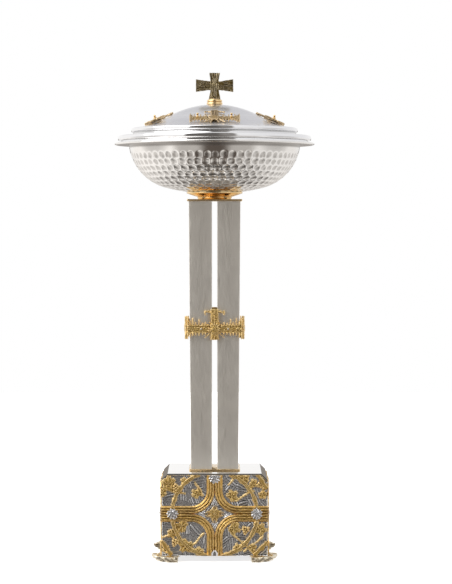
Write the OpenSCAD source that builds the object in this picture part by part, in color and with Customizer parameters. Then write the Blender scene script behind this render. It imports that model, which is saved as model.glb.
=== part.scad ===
// Portable baptismal font: a square base with relief panels, four steel columns,
// a hammered bowl with a lift-out basin, and a domed lid with a cross finial.
// Millimetres. The font stands on z = 0, its front faces -Y, its axis is x = y = 0.

/* [Feet] */
// Height of the feet under the base box
foot_h = 13; // [9:1:18]
// How far a foot reaches out past the base box
foot_reach = 22; // [16:1:28]
// How far a foot reaches in under the base box
foot_inset = 34; // [28:1:40]
// Thickness of the solid fan under the ribs of a foot
foot_web = 8; // [6:0.5:9]
// How far the ribs of a foot rise over its top, outside the base box
foot_crest = 3; // [2:0.5:4]
// Number of ribs on the fan of a foot
foot_ribs = 5; // [4:1:6]

/* [Base box] */
// Width and depth of the base box over its panels
base_w = 226; // [210:2:240]
// Height of the base box
base_h = 176; // [164:2:190]
// Size of the sloping edge along the left and right of the top
bevel = 13; // [9:1:16]
// Thickness of the polished top sheet
top_sheet_t = 3; // [2:0.5:4]
// Thickness of the relief panels
panel_t = 8; // [6:0.5:10]
// Wall of the inner shell that carries the panels
shell_t = 3; // [2:0.5:4]
// Thickness of the floor plate
floor_t = 6; // [4:1:8]
// Distance of the foot screws in from the faces of the base box
foot_screw_in = 22; // [20:1:24]

/* [Panel relief] */
// Height of the cross over the ground of the panel
relief_h = 4; // [3:0.5:5]
// Height of the centre of the relief over the lower edge of the panel
relief_rise = 90; // [84:1:96]
// Width of the arms of the reeded cross
arm_w = 34; // [30:1:38]
// Width of the groove along the middle of an arm
arm_groove = 0.8; // [0.6:0.1:1.4]
// Number of reeds in each half of an arm
reeds = 3; // [2:1:4]
// Distance of the centres of the quarter sweeps from the arm centre lines
sweep_c = 50; // [46:1:56]
// Radius of the vine ring round the cross
ring_r = 91; // [88:1:94]
// Radius of the half-round section of the vine ring
ring_t = 3; // [2:0.5:3.5]
// Radius of the half-round section of the twigs
twig_t = 1.8; // [1.4:0.2:2.4]
// Height of the leaves over the ground of the panel
leaf_h = 2.4; // [1.6:0.2:3]
// Radius of one grape
grape_r = 3; // [2.6:0.2:3.4]
// Width of the lozenge at the centre of the cross
lozenge_w = 38; // [32:1:42]
// Height of the lozenge at the centre of the cross
lozenge_h = 33; // [28:1:38]
// Width of the faceted studs on the arms of the cross
stud_d = 19; // [16:1:22]
// Distance of the side studs from the centre of the cross
stud_out = 90; // [86:1:94]
// Distance of the upper and lower studs from the centre of the cross
stud_up = 72; // [68:1:74]

/* [Columns] */
// Length of the columns
column_l = 579.4; // [540:1:620]
// Side of a column at its lower end
column_w = 45.5; // [42:0.5:48]
// How much wider a column is at its upper end
column_taper = 4.5; // [0:0.5:6]
// Gap between two neighbouring columns
column_gap = 11.6; // [9:0.2:15]
// Wall of a column
column_wall = 2; // [1.5:0.1:3]
// Length of the plugs in the ends of the columns
plug_l = 20; // [16:1:26]

/* [Column plates] */
// Side of the gilt plate under the columns
base_plate_w = 110; // [106:1:120]
// Thickness of the gilt plate under the columns
base_plate_t = 3; // [2:0.5:5]
// Side of the gilt plate on top of the columns
top_plate_w = 119; // [116:1:126]
// Thickness of the gilt plate on top of the columns
top_plate_t = 4; // [4:0.5:6]

/* [Collar] */
// Height of the centre of the collar over the foot of the columns
collar_at = 304; // [260:2:340]
// Thickness of the hidden band round the columns
band_t = 5; // [4:0.5:7]
// Height of the hidden band
band_h = 12; // [10:1:14]
// Thickness of the cast plaques
plaque_t = 4; // [3:0.5:5]
// Height of the beam of a collar plaque
beam_h = 16.5; // [15:0.5:20]
// How far the upright of a collar plaque rises over the collar centre
upright_up = 43; // [38:1:48]
// How far the upright of a plaque on the left or right rises over the collar centre
side_upright_up = 25; // [22:1:48]
// How far the upright of a collar plaque hangs below the collar centre
upright_down = 24; // [20:1:28]
// Width of the upright of a collar plaque
upright_w = 16; // [14:1:20]
// Width of the small crossbar of a collar plaque
crossbar_w = 43; // [38:1:50]
// Radius of the heads of the studs in the collar and on the lid
plaque_stud_r = 3; // [2.5:0.25:3.5]
// Distance of the studs of a collar plaque from its middle
plaque_stud_x = 29; // [26:1:34]

/* [Bowl] */
// Radius of the ring between the top plate and the saucer
neck_r = 37.5; // [34:0.5:42]
// Height of the ring between the top plate and the saucer
neck_h = 5.6; // [4:0.2:8]
// Radius of the upper edge of the saucer
saucer_r = 60.8; // [54:0.4:66]
// Thickness of the saucer at its middle
saucer_t = 6.3; // [5:0.1:9]
// Height of the upright edge of the saucer
saucer_edge = 3; // [1.5:0.5:4]
// Radius of the knuckle between the floor and the wall of the bowl
knuckle_r = 108; // [104:1:112]
// Slope of the bowl floor where the knuckle starts
floor_slope = 14; // [12:0.5:16]
// Wall of the bowl and of the basin
bowl_wall = 2; // [1.6:0.1:2.6]
// Radius of the lip of the bowl
lip_r = 217; // [190:1:240]
// Width of the lip, from the widest place of the wall to the edge
lip_w = 30.1; // [27:0.1:32]
// Height of the lip below the centre of the knuckle
lip_drop = 7.3; // [6:0.1:9]
// Thickness of the rolled edge of the lip
lip_t = 5; // [4:0.5:6]

/* [Basin] */
// Space between the bowl and the basin inside it
basin_space = 18; // [16:0.5:20]
// How much smaller the rim of the basin is than the lip of the bowl
rim_step = 7; // [6:0.5:9]
// Height of the rim of the basin over the lip of the bowl
rim_h = 15; // [13.5:0.5:17]
// Thickness of the rolled rim of the basin
rim_t = 10.9; // [9.5:0.1:12]
// Depth of the step from the top of the rim down to the ledge
ledge_drop = 0.6; // [0.4:0.1:1.2]

/* [Lid] */
// Radius of the convex cap of the lid
cap_r = 205; // [196:1:214]
// Slope at which the cap turns into the flare
turn_slope = 30; // [28:0.5:32]
// Slope of the flare where it meets the rim
edge_slope = 8; // [6:0.5:10]
// How far the dome edge lies out from the mouth of the basin
dome_out = 6; // [4:0.5:7]
// Height from the ledge of the basin to the dome edge
lid_skirt_h = 16.7; // [15:0.1:20]
// Radius of the round bead of the lid rim
bead_r = 4.5; // [3.5:0.1:5]
// Clearance between the locating lip of the lid and the basin
lip_clear = 1; // [0.6:0.1:1.8]
// Depth of the locating lip below the ledge
lip_depth = 7; // [5:0.5:9]
// Wall of the lid
lid_wall = 2; // [1.5:0.1:2.6]

/* [Lid plaques] */
// Distance of the outermost rays of a lid plaque from the edge of the dome, in plan
lid_plaque_in = 22; // [18:0.1:27]
// Width of a lid plaque
lid_plaque_w = 107; // [98:1:114]
// Height of the beam of a lid plaque, along its slope
lid_beam = 17; // [14:0.5:20]
// Length of the upright of a lid plaque, from the outer edge of its beam
lid_upright = 52.5; // [46:0.5:60]
// Distance of the studs of a lid plaque from its middle
lid_stud_x = 36; // [32:1:40]
// Height of the studs of a lid plaque over the plaque
lid_stud_h = 9; // [7:0.5:11]

/* [Finial] */
// Radius of the turned collar under the cross
finial_r = 17.2; // [15:0.2:19]
// Height of the turned collar
finial_h = 11.3; // [9:0.1:14]
// Height of the cross
cross_h = 57.2; // [50:0.2:64]
// Span of the arms of the cross
cross_w = 81.7; // [72:0.5:90]
// Thickness of the cross
cross_t = 9; // [7:0.5:11]
// Height of the arm centre line over the foot of the cross
cross_arm_at = 29.4; // [26:0.2:32]
// Height of an arm at its end
arm_end = 28; // [24:0.5:32]
// Height of an arm where it meets the upright
arm_root = 16.5; // [14:0.5:20]
// Width of the upright at its top
upright_top = 23.5; // [20:0.5:28]
// Width of the upright where the arms meet it
upright_root = 17.8; // [15:0.2:19.8]
// Width of the upright at its foot
upright_foot = 26.4; // [22:0.2:30]

/* [Fasteners and fits] */
// Radius of the larger screws, in the feet, the plugs and the bowl
screw_r = 4; // [3:0.5:4]
// Radius of the small screws in the panels and the plaques
small_screw_r = 1.5; // [1:0.25:2]
// Clearance between a screw and its hole
screw_clear = 0.1; // [0.05:0.05:0.3]
// Clearance between pieces that lie side by side
fit = 0.15; // [0.1:0.05:0.3]
// Clearance between curved faces that would touch
curve_clear = 0.3; // [0.2:0.05:0.4]

/* [Hidden] */
$fn = 96;
SIDES = ["front", "right", "rear", "left"];

gold = "goldenrod";
pale_gold = "gold";
bronze = "darkkhaki";
silver = "silver";
steel = "gainsboro";
satin = "darkgray";
dark = "slategray";

// Overlap of a cutting solid past the face that it cuts
eps = 1;

// Bowl, basin and lid curves
knuckle_c = lip_r - lip_w - knuckle_r;
lip_start = 80;
bead_start = 230;
bead_end = 450;
rim_start = 252;
wall_skip = 3;
flare_skip = 2;
floor_r = knuckle_r + knuckle_c / sin(floor_slope);
basin_r = knuckle_r - bowl_wall - basin_space;
mouth_r = knuckle_c + basin_r;
rim_r = lip_r - rim_step;
dome_r = mouth_r + dome_out;
lid_plaque_r = dome_r - lid_plaque_in;
flare_r = (dome_r - cap_r * sin(turn_slope)) / (sin(turn_slope) - sin(edge_slope));

// Levels, from the floor up
base_half = base_w / 2;
panel_screw_at = 0.68;
base_z = foot_h;
base_top_z = base_z + base_h;
relief_z = base_z + relief_rise;
column_z = base_top_z + base_plate_t;
column_top_z = column_z + column_l;
neck_z = column_top_z + top_plate_t;
saucer_z = neck_z + neck_h;
bowl_z = saucer_z + saucer_t + curve_clear;
lip_z = bowl_z + floor_r - (floor_r - knuckle_r) * cos(floor_slope) - lip_drop;
knuckle_z = lip_z + lip_drop;
ledge_z = lip_z + rim_h;
dome_edge_z = ledge_z + lid_skirt_h;
lid_top_z = dome_edge_z + cap_r * (1 - cos(turn_slope)) + flare_r * (cos(edge_slope) - cos(turn_slope));
finial_z = lid_top_z + curve_clear;
cross_z = finial_z + finial_h;

// Lid plaques: flat, on the tips of their rays, and leant against the cap
ray_reach = 1.38;
lid_reach = lid_beam * ray_reach;
lid_foot_z = flare_z(lid_plaque_r) + curve_clear;
lid_foot = [lid_plaque_r, lid_foot_z - lid_top_z + cap_r];
lid_slope = asin((cap_r + curve_clear) / norm(lid_foot)) - atan2(lid_foot[1], lid_foot[0]);
lid_stud_r = lid_plaque_r - lid_reach * cos(lid_slope);
lid_stud_z = flare_z(norm([lid_stud_x, lid_stud_r]));
lid_plaque_z = lid_foot_z + lid_reach * sin(lid_slope) + plaque_t / cos(lid_slope);

// Column places
column_in = column_gap / 2;
column_low = column_in + column_w;
column_high = column_low + column_taper;
lower_c = column_in + column_w / 2;
upper_c = column_in + (column_w + column_taper) / 2;
function column_half(z) = column_low + column_taper * (z - column_z) / column_l;

// Collar places
collar_z = column_z + collar_at;
band_in = column_half(collar_z + band_h / 2) + fit;
band_out = band_in + band_t;

// Screws, washers and nuts
head_r = screw_r * 1.7;
head_h = screw_r * 1.25;
nut_h = screw_r * 1.6;
finial_rod_r = screw_r * 0.75;
nut_r = screw_r * 1.87;
sunk_r = screw_r * 1.9;
sunk_h = top_plate_t * 0.7;
washer_r = screw_r * 3;
washer_t = 2;
bolt_out = 2;
bowl_nut_z = bowl_z + bowl_wall + curve_clear;
small_head_r = small_screw_r * 2;
small_head_h = small_screw_r * 1.2;
bore_r = screw_r + screw_clear;
small_bore_r = small_screw_r + screw_clear;

// Curves

function arc(c, r, a0, a1, n = 12) =
    [for (i = [0 : n]) c + r * [cos(a0 + (a1 - a0) * i / n), sin(a0 + (a1 - a0) * i / n)]];

// A spun floor and knuckle, from the axis out to the slope at its end
function spun(inset, end_slope, radius = knuckle_r) = concat(
    arc([0, knuckle_z + (floor_r - knuckle_r) * cos(floor_slope)],
        floor_r - (knuckle_r - radius) - inset, -90, floor_slope - 90, 8),
    arc([knuckle_c, knuckle_z], radius - inset, floor_slope - 90 + wall_skip, end_slope - 90, 20));

// The cap and the flare of the lid, from the axis out, raised by a thickness
function dome(raise, slope = edge_slope) = concat(
    arc([0, lid_top_z - cap_r], cap_r + raise, 90, 90 - turn_slope, 16),
    arc([(cap_r + flare_r) * sin(turn_slope), lid_top_z - cap_r + (cap_r + flare_r) * cos(turn_slope)],
        flare_r - raise, 270 + flare_skip - turn_slope, 270 - slope, 14));

// Height of the top of the lid at a distance from its axis, past the turn of the slope
function flare_z(r) = lid_top_z - cap_r + (cap_r + flare_r) * cos(turn_slope)
    - sqrt(pow(flare_r, 2) - pow((cap_r + flare_r) * sin(turn_slope) - r, 2));

function reversed(list) = [for (i = [len(list) - 1 : -1 : 0]) list[i]];

// Shared helpers

module at_side(i) {
    rotate([0, 0, 90 * i]) children();
}

module at_corners(c) {
    for (x = [-c, c])
        for (y = [-c, c])
            translate([x, y, 0]) children();
}

module rod(r, z0, z1) {
    translate([0, 0, z0]) cylinder(r = r, h = z1 - z0);
}

module square_plate(w, z0, t) {
    translate([-w / 2, -w / 2, z0]) cube([w, w, t]);
}

// Feet: a quarter fan like a shell that spreads out past the corner of the box.
// A foot is drawn with the root of its fan at the origin, and it spreads to +X and +Y.
foot_r = foot_inset + foot_reach;
petal_turn = 90 / foot_ribs;

// The rounded end of a petal, and its width, at an angle to its own middle
function petal_end(a, w) = foot_r - 3 * (1 - cos(90 * a / w));

module petal(middle, w, z0, z1, root) {
    translate([0, 0, z0])
        linear_extrude(z1 - z0)
            polygon(concat(
                root * [[cos(middle + w), sin(middle + w)], [cos(middle - w), sin(middle - w)]],
                [for (k = [-3 : 3])
                    petal_end(k * w / 3, w) * [cos(middle + k * w / 3), sin(middle + k * w / 3)]]));
}

module foot(i) {
    corner = base_half - foot_inset;
    color(gold)
        difference() {
            rotate([0, 0, 90 * i + 180])
                translate([corner, corner, 0])
                    union() {
                        linear_extrude(foot_h)
                            square([foot_inset - 1, foot_inset - 1]);
                        for (k = [0 : foot_ribs - 1]) {
                            middle = (k + 0.5) * petal_turn;
                            petal(middle, petal_turn / 2, 0, foot_web, 1);
                            petal(middle, petal_turn * 0.36, foot_web - eps, foot_h, foot_inset * 0.6);
                            petal(middle, petal_turn * 0.2, foot_h - eps, foot_h + foot_crest, foot_inset * 0.8);
                        }
                    }
            square_plate(base_w + 2 * relief_h + 2 * fit, foot_h, 2 * foot_crest);
            at_corners(base_half - foot_screw_in) rod(bore_r, foot_h / 4, foot_h + eps);
        }
}

module foot_screws() {
    color(steel)
        at_corners(base_half - foot_screw_in)
            union() {
                rod(screw_r, foot_h / 4 + fit, base_z + floor_t + eps);
                rod(head_r, base_z + floor_t, base_z + floor_t + head_h);
            }
}

// Base box

// The space under the folded top sheet, along Y
module under_top(inset = top_sheet_t) {
    low = base_half + top_sheet_t * (1 - sqrt(2));
    h = base_top_z - inset;
    shift = inset * (sqrt(2) - 1);
    rotate([90, 0, 0])
        translate([0, 0, -base_w])
            linear_extrude(2 * base_w)
                polygon([[-base_half, base_z], [base_half, base_z],
                    [base_half, base_top_z - bevel - inset - shift],
                    [base_half - bevel - shift, h], [-base_half + bevel + shift, h],
                    [-base_half, base_top_z - bevel - inset - shift]]);
}

module floor_plate() {
    color(dark)
        difference() {
            square_plate(base_w - 2 * panel_t - 2 * shell_t - 2 * fit, base_z, floor_t);
            at_corners(base_half - foot_screw_in) rod(bore_r, base_z - eps, base_z + floor_t + eps);
        }
}

module panel_screw_places() {
    for (x = [-1, 1])
        for (z = [0.2, 0.75])
            translate([x * base_half * panel_screw_at, 0, base_z + base_h * z])
                rotate([90, 0, 0])
                    children();
}

module base_shell() {
    w = base_w - 2 * panel_t;
    color(dark)
        difference() {
            intersection() {
                under_top();
                difference() {
                    square_plate(w, base_z, base_h);
                    square_plate(w - 2 * shell_t, base_z - eps, base_h + 2 * eps);
                }
            }
            for (i = [0 : 3])
                at_side(i)
                    panel_screw_places()
                        rod(small_bore_r, base_half - panel_t - shell_t - eps, base_half - panel_t + eps);
        }
}

module panel(i) {
    color(dark)
        difference() {
            intersection() {
                under_top();
                at_side(i)
                    translate([0, 0, base_z])
                        linear_extrude(base_h)
                            polygon([[-base_half, -base_half], [base_half, -base_half],
                                [base_half - panel_t, panel_t - base_half],
                                [panel_t - base_half, panel_t - base_half]]);
            }
            at_side(i)
                panel_screw_places()
                    rod(small_bore_r, base_half - panel_t - eps, base_half - panel_t / 3);
        }
}

module panel_screws() {
    inner = base_half - panel_t - shell_t;
    color(steel)
        for (i = [0 : 3])
            at_side(i)
                panel_screw_places()
                    union() {
                        rod(small_screw_r, inner - eps, base_half - panel_t / 3 - fit);
                        rod(small_head_r, inner - small_head_h, inner);
                    }
}

module base_top() {
    color(steel)
        difference() {
            intersection() {
                under_top(0);
                square_plate(base_w, base_z, base_h);
            }
            under_top();
            at_corners(lower_c) rod(bore_r, base_top_z - top_sheet_t - eps, base_top_z + eps);
        }
}

// Relief of the panels, drawn flat with the centre of the cross at the origin

arm_half = arm_w / 2;
reed_span = arm_half - arm_groove / 2;
reed_w = reed_span / reeds;
reed_r = reed_w * 0.54;
web_h = (relief_h - reed_r) * 1.2;

// The reeds of half an arm, from the groove in its middle to its edge
module half_reeds() {
    translate([arm_groove / 2, 0])
        intersection() {
            square([reed_span, relief_h + eps]);
            union() {
                square([reed_span, web_h]);
                for (k = [0 : reeds - 1])
                    translate([(k + 0.5) * reed_w, relief_h - reed_r])
                        circle(r = reed_r);
            }
        }
}

module straight_arm() {
    translate([sweep_c, 0, 0])
        rotate([90, 0, 90])
            linear_extrude(base_half + relief_h - sweep_c)
                union() {
                    half_reeds();
                    mirror([1, 0]) half_reeds();
                    translate([-arm_groove, 0]) square([2 * arm_groove, web_h]);
                }
}

// A quarter sweep: half an arm that turns into the next one round a corner of the lozenge
module quarter_sweep() {
    translate([sweep_c, sweep_c, 0])
        rotate([0, 0, 180])
            rotate_extrude(angle = 90)
                translate([sweep_c, 0])
                    mirror([1, 0])
                        half_reeds();
}

// The face of a panel that the relief may cover, with the mitre at its corners
module relief_field(i) {
    high = base_top_z - top_sheet_t - relief_z;
    side_high = base_top_z - bevel - top_sheet_t * sqrt(2) - relief_z;
    cut = bevel + top_sheet_t * (sqrt(2) - 1);
    over = relief_h + eps;
    intersection() {
        linear_extrude(over)
            polygon(i % 2 == 0
                ? [[-base_half - over, -relief_rise], [base_half + over, -relief_rise],
                    [base_half + over, side_high], [base_half, side_high],
                    [base_half - cut, high], [cut - base_half, high],
                    [-base_half, side_high], [-base_half - over, side_high]]
                : [[-base_half - over, -relief_rise], [base_half + over, -relief_rise],
                    [base_half + over, side_high], [-base_half - over, side_high]]);
        rotate([90, 0, 0])
            translate([0, 0, -base_h])
                linear_extrude(2 * base_h)
                    polygon([[-base_half, 0], [base_half, 0],
                        [base_half + over, over], [-base_half - over, over]]);
    }
}

module on_panel(i) {
    at_side(i)
        translate([0, -base_half, relief_z])
            rotate([90, 0, 0])
                children();
}

// The upper stud of a side panel stands below the sloping edge of the top sheet
module stud_places(i) {
    upper = i % 2 == 0 ? stud_up : stud_up - bevel - top_sheet_t;
    for (x = [-stud_out, stud_out])
        translate([x, 0, 0]) children();
    for (y = [-stud_up, upper])
        translate([0, y, 0]) children();
}

module cross(i) {
    color(gold)
        on_panel(i)
            difference() {
                intersection() {
                    union() {
                        for (q = [0 : 3])
                            rotate([0, 0, 90 * q]) {
                                straight_arm();
                                quarter_sweep();
                            }
                    }
                    relief_field(i);
                }
                stud_places(i)
                    translate([0, 0, -eps])
                        cylinder(r = stud_d / 2 + fit, h = relief_h + 2 * eps);
            }
}

module cross_studs() {
    color(silver)
        for (i = [0 : 3])
            on_panel(i)
                stud_places(i)
                    union() {
                        cylinder(r = stud_d / 2, h = relief_h * 0.6);
                        translate([0, 0, relief_h * 0.6])
                            cylinder(r1 = stud_d * 0.46, r2 = stud_d * 0.2, h = relief_h * 0.6, $fn = 8);
                    }
}

module twig(a, b, r = twig_t) {
    d = b - a;
    translate([a[0], a[1], 0])
        rotate([0, 90, atan2(d[1], d[0])])
            cylinder(r = r, h = norm(d));
}

// A bunch of grapes that hangs from its upper middle: rows of three, two and one
module grapes() {
    for (row = [0 : 2])
        for (k = [0 : 2 - row])
            translate([(k - (2 - row) / 2) * grape_r * 1.7, -row * grape_r * 1.5, 0])
                sphere(r = grape_r);
}

function leaf_edge(a) = 0.62 + 0.38 * abs(cos(a * 2.5));

module leaf(size, turn) {
    rotate([0, 0, turn])
        linear_extrude(leaf_h)
            polygon([for (a = [-180 : 9 : 171]) size * leaf_edge(a) * [cos(a), sin(a)]]);
}

// Leaves: place, size and turn, on the ground round the cross
LEAVES = [
    [-94, 62, 17, 20], [-43, 40, 10, 130], [-104, 42, 8, 200],
    [60, 72, 13, 250], [38, 35, 12, 40], [96, 40, 10, 300],
    [-73, -31, 13, 160], [-68, -68, 16, 90], [-34, -76, 9, 20],
    [42, -33, 12, 330], [94, -39, 12, 60], [48, -74, 10, 110]
];

// Bunches of grapes: place of the upper middle grape and turn
GRAPES = [
    [-80, 52, -30], [74, 62, 20], [-64, -48, 15], [78, -58, -10]
];

// Thick bands across the corners: from one end to the other
BANDS = [
    [[94, 83], [112, 56]], [[-114, -60], [-94, -86]], [[112, -62], [88, -87]]
];

// Twigs: from one end to the other
TWIGS = [
    [[-42, 66], [-24, 36]], [[-90, 56], [-66, 44]],
    [[44, 28], [80, 46]], [[70, 80], [60, 62]],
    [[-110, -54], [-80, -40]], [[-50, -70], [-24, -44]],
    [[34, -38], [84, -86]], [[100, -50], [84, -34]]
];

module vine(i) {
    color(gold)
        on_panel(i)
            difference() {
                intersection() {
                    union() {
                        rotate_extrude()
                            translate([ring_r, 0])
                                circle(r = ring_t);
                        for (t = TWIGS)
                            twig(t[0], t[1]);
                        for (b = BANDS)
                            twig(b[0], b[1], ring_t);
                        for (g = GRAPES)
                            translate([g[0], g[1], 0])
                                rotate([0, 0, g[2]])
                                    grapes();
                        for (l = LEAVES)
                            translate([l[0], l[1], 0])
                                leaf(l[2], l[3]);
                    }
                    relief_field(i);
                }
                vine_cut();
            }
}

// The room that the arms and quarter sweeps of the cross take from the vine
module vine_cut() {
    edge = arm_half + fit;
    tall = 2 * relief_h;
    long = 2 * base_w;
    for (q = [0, 90])
        rotate([0, 0, q])
            translate([-long / 2, -edge, -tall / 2])
                cube([long, 2 * edge, tall]);
    for (q = [0 : 3])
        rotate([0, 0, 90 * q])
            difference() {
                translate([-eps, -eps, -tall / 2])
                    cube([sweep_c + eps, sweep_c + eps, tall]);
                translate([sweep_c, sweep_c, -tall])
                    cylinder(r = sweep_c - arm_half - fit, h = 2 * tall);
            }
}

module lozenge_plan(inset) {
    x = lozenge_w / 2 - inset;
    y = lozenge_h / 2 - inset;
    polygon([[x, 0], [0, y], [-x, 0], [0, -y]]);
}

module lozenge(i) {
    petal = lozenge_h * 0.17;
    color(gold)
        on_panel(i)
            union() {
                linear_extrude(relief_h * 0.4) lozenge_plan(0);
                linear_extrude(relief_h * 0.8)
                    difference() {
                        lozenge_plan(0);
                        lozenge_plan(3);
                    }
                for (a = [0 : 90 : 270])
                    rotate([0, 0, a])
                        translate([petal, 0, 0])
                            cylinder(r = petal * 0.8, h = relief_h * 0.65);
                cylinder(r = petal * 0.7, h = relief_h);
            }
}

// Columns

// A square that grows on its two outer sides only, from the foot of the columns to their top
module column_prism(inset) {
    low = column_low - inset;
    high = column_high - inset;
    inner = column_in + inset;
    rotate([90, 0, 0])
        translate([0, 0, -2 * column_high])
            linear_extrude(2 * column_high)
                polygon([[inner, column_z], [low, column_z], [high, column_top_z], [inner, column_top_z]]);
}

module tapered_column(inset) {
    intersection() {
        column_prism(inset);
        mirror([1, -1, 0]) column_prism(inset);
    }
}

module column(i) {
    color(satin)
        rotate([0, 0, 90 * i + 180])
            difference() {
                tapered_column(0);
                tapered_column(column_wall);
            }
}

// A plug that fits the narrow end of the tapered bore over its length
module plug(z0, z1, c) {
    low = column_in + column_wall + fit;
    side = column_half(z0) - column_wall - fit - low;
    difference() {
        translate([low, low, z0]) cube([side, side, z1 - z0]);
        translate([c, c, 0]) rod(bore_r, z0 - eps, z1 + eps);
    }
}

module lower_plugs() {
    color(dark)
        for (i = [0 : 3])
            at_side(i) plug(column_z, column_z + plug_l, lower_c);
}

module upper_plugs() {
    color(dark)
        for (i = [0 : 3])
            at_side(i) plug(column_top_z - plug_l, column_top_z, upper_c);
}

module column_base_plate() {
    color(pale_gold)
        difference() {
            square_plate(base_plate_w, base_top_z, base_plate_t);
            at_corners(lower_c) rod(bore_r, base_top_z - eps, column_z + eps);
        }
}

module lower_screws() {
    under = base_top_z - top_sheet_t;
    color(steel)
        at_corners(lower_c)
            union() {
                rod(screw_r, under - eps, column_z + plug_l * 0.8);
                rod(head_r, under - head_h, under);
            }
}

// A sunk head with its flat end at the top of a plate, and one with its flat end below
module sunk_head(r, z, h) {
    translate([0, 0, z - h]) cylinder(r1 = screw_r + r, r2 = sunk_r + r, h = h);
}

module sunk_foot(r, z, h) {
    translate([0, 0, z]) cylinder(r1 = sunk_r + r, r2 = screw_r + r, h = h);
}

module column_top_plate() {
    color(pale_gold)
        difference() {
            square_plate(top_plate_w, column_top_z, top_plate_t);
            rod(bore_r, column_top_z - eps, neck_z + eps);
            sunk_foot(screw_clear + fit, column_top_z - fit, sunk_h + fit);
            at_corners(upper_c)
                union() {
                    rod(bore_r, column_top_z - eps, neck_z + eps);
                    sunk_head(screw_clear + fit, neck_z + fit, sunk_h + fit);
                }
        }
}

module upper_screws() {
    color(steel)
        at_corners(upper_c)
            union() {
                rod(screw_r, column_top_z - plug_l * 0.8, neck_z - top_plate_t / 2);
                sunk_head(0, neck_z, sunk_h);
            }
}

// Collar

module collar_band() {
    color(dark)
        difference() {
            square_plate(2 * band_out, collar_z - band_h / 2, band_h);
            square_plate(2 * band_in, collar_z - band_h / 2 - eps, band_h + 2 * eps);
            for (i = [0 : 3])
                at_side(i)
                    stud_axes()
                        rod(small_bore_r, band_in - eps, band_out + eps);
        }
}

module stud_axes() {
    for (x = [-plaque_stud_x, plaque_stud_x])
        translate([x, 0, collar_z])
            rotate([90, 0, 0])
                children();
}

// A bar that points out of the origin at an angle
module ray(angle, from, to, w) {
    rotate([0, 0, angle])
        translate([from, -w / 2])
            square([to - from, w]);
}

// Teeth of a plaque: place as a share of half the beam, rise above it and depth below it in beams
TEETH = [[0.95, 0.9, 0.9], [0.82, 0.9, 0.45], [0.61, 0.7, 0.4], [0.4, 0.15, 0.2]];

// Rays of a plaque: angle and length in beams
RAYS = [
    [35, 1.15], [52, 1.15], [128, 1.15], [145, 1.15],
    [222, 1.75], [318, 1.75], [248, 1.45], [292, 1.45]
];

// The outline of a cast plaque: a beam with teeth, an upright with a small crossbar, and rays
module motif(half, beam, up, down, upright, bar) {
    tooth = beam * 0.27;
    hook = bar * 0.07;
    square([2 * half, beam], center = true);
    translate([-upright / 2, -down])
        square([upright, up + down]);
    translate([-bar / 2, up - 3 * hook])
        square([bar, 1.6 * hook]);
    for (x = [-1, 1]) {
        translate([x * (bar - hook) / 2 - hook / 2, up - 4.6 * hook])
            square([hook, 3 * hook]);
        for (t = TEETH)
            translate([x * (half * t[0]) - tooth / 2, -beam * (t[2] + 0.5)])
                square([tooth, beam * (1 + t[1] + t[2])]);
    }
    for (r = RAYS)
        ray(r[0], 0, beam * r[1], beam * 0.18);
}

module collar_plaque(i) {
    half = band_out + plaque_t;
    reed = upright_w / 4;
    up = i % 2 == 0 ? upright_up : side_upright_up;
    color(gold)
        at_side(i)
            difference() {
                intersection() {
                    translate([0, -band_out, collar_z])
                        rotate([90, 0, 0])
                            union() {
                                linear_extrude(plaque_t)
                                    motif(half, beam_h, up, upright_down, upright_w, crossbar_w);
                                for (x = [-reed, reed])
                                    translate([x, up, plaque_t - reed / 2])
                                        rotate([90, 0, 0])
                                            cylinder(r = reed * 1.02, h = up + upright_down);
                                for (a = [0 : 15 : 345])
                                    linear_extrude(plaque_t + reed * 0.8)
                                        ray(a, 2, beam_h * 0.6, 1.6);
                            }
                    linear_extrude(column_top_z)
                        polygon([[-half - reed, -half - reed], [half + reed, -half - reed],
                            [band_out, -band_out], [-band_out, -band_out]]);
                }
                stud_axes() rod(small_bore_r, band_out - eps, half + reed);
            }
}

module collar_studs() {
    face = band_out + plaque_t;
    color(steel)
        for (i = [0 : 3])
            at_side(i)
                stud_axes()
                    union() {
                        rod(small_screw_r, band_in + fit, face + eps / 2);
                        translate([0, 0, face])
                            intersection() {
                                cylinder(r = plaque_stud_r, h = plaque_stud_r);
                                sphere(r = plaque_stud_r);
                            }
                    }
}

// Neck and bowl

module neck_ring() {
    color(pale_gold)
        difference() {
            translate([0, 0, neck_z])
                rotate_extrude()
                    polygon([[0, 0], [neck_r - 2.5, 0], [neck_r, neck_h * 0.6],
                        [neck_r, neck_h * 0.8], [neck_r - 1, neck_h], [0, neck_h]]);
            rod(bore_r, neck_z - eps, saucer_z + eps);
        }
}

module saucer() {
    seat = bowl_z - curve_clear + floor_r;
    start = asin(saucer_r / floor_r);
    edge_z = seat - floor_r * cos(start);
    color(pale_gold)
        difference() {
            rotate_extrude()
                polygon(concat(
                    [[0, saucer_z], [neck_r - 1.1, saucer_z], [neck_r + 6, saucer_z + saucer_t * 0.25],
                        [saucer_r - 2, edge_z - saucer_edge - 1], [saucer_r, edge_z - saucer_edge]],
                    arc([0, seat], floor_r, start - 90, -90, 8)));
            rod(bore_r, saucer_z - eps, bowl_z + eps);
        }
}

// The bolt is sunk in the top plate from below, and its flanged nut is inside the bowl
module bowl_bolt() {
    color(steel)
        union() {
            sunk_foot(0, column_top_z, sunk_h);
            rod(screw_r, column_top_z + sunk_h / 2, bowl_nut_z + washer_t + nut_h + bolt_out);
        }
}

module bowl_nut() {
    top = bowl_nut_z + washer_t + nut_h;
    color(steel)
        difference() {
            union() {
                rod(washer_r, bowl_nut_z, bowl_nut_z + washer_t);
                translate([0, 0, bowl_nut_z]) cylinder(r = nut_r, h = washer_t + nut_h, $fn = 6);
            }
            rod(bore_r, bowl_nut_z - eps, top + eps);
        }
}

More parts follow.
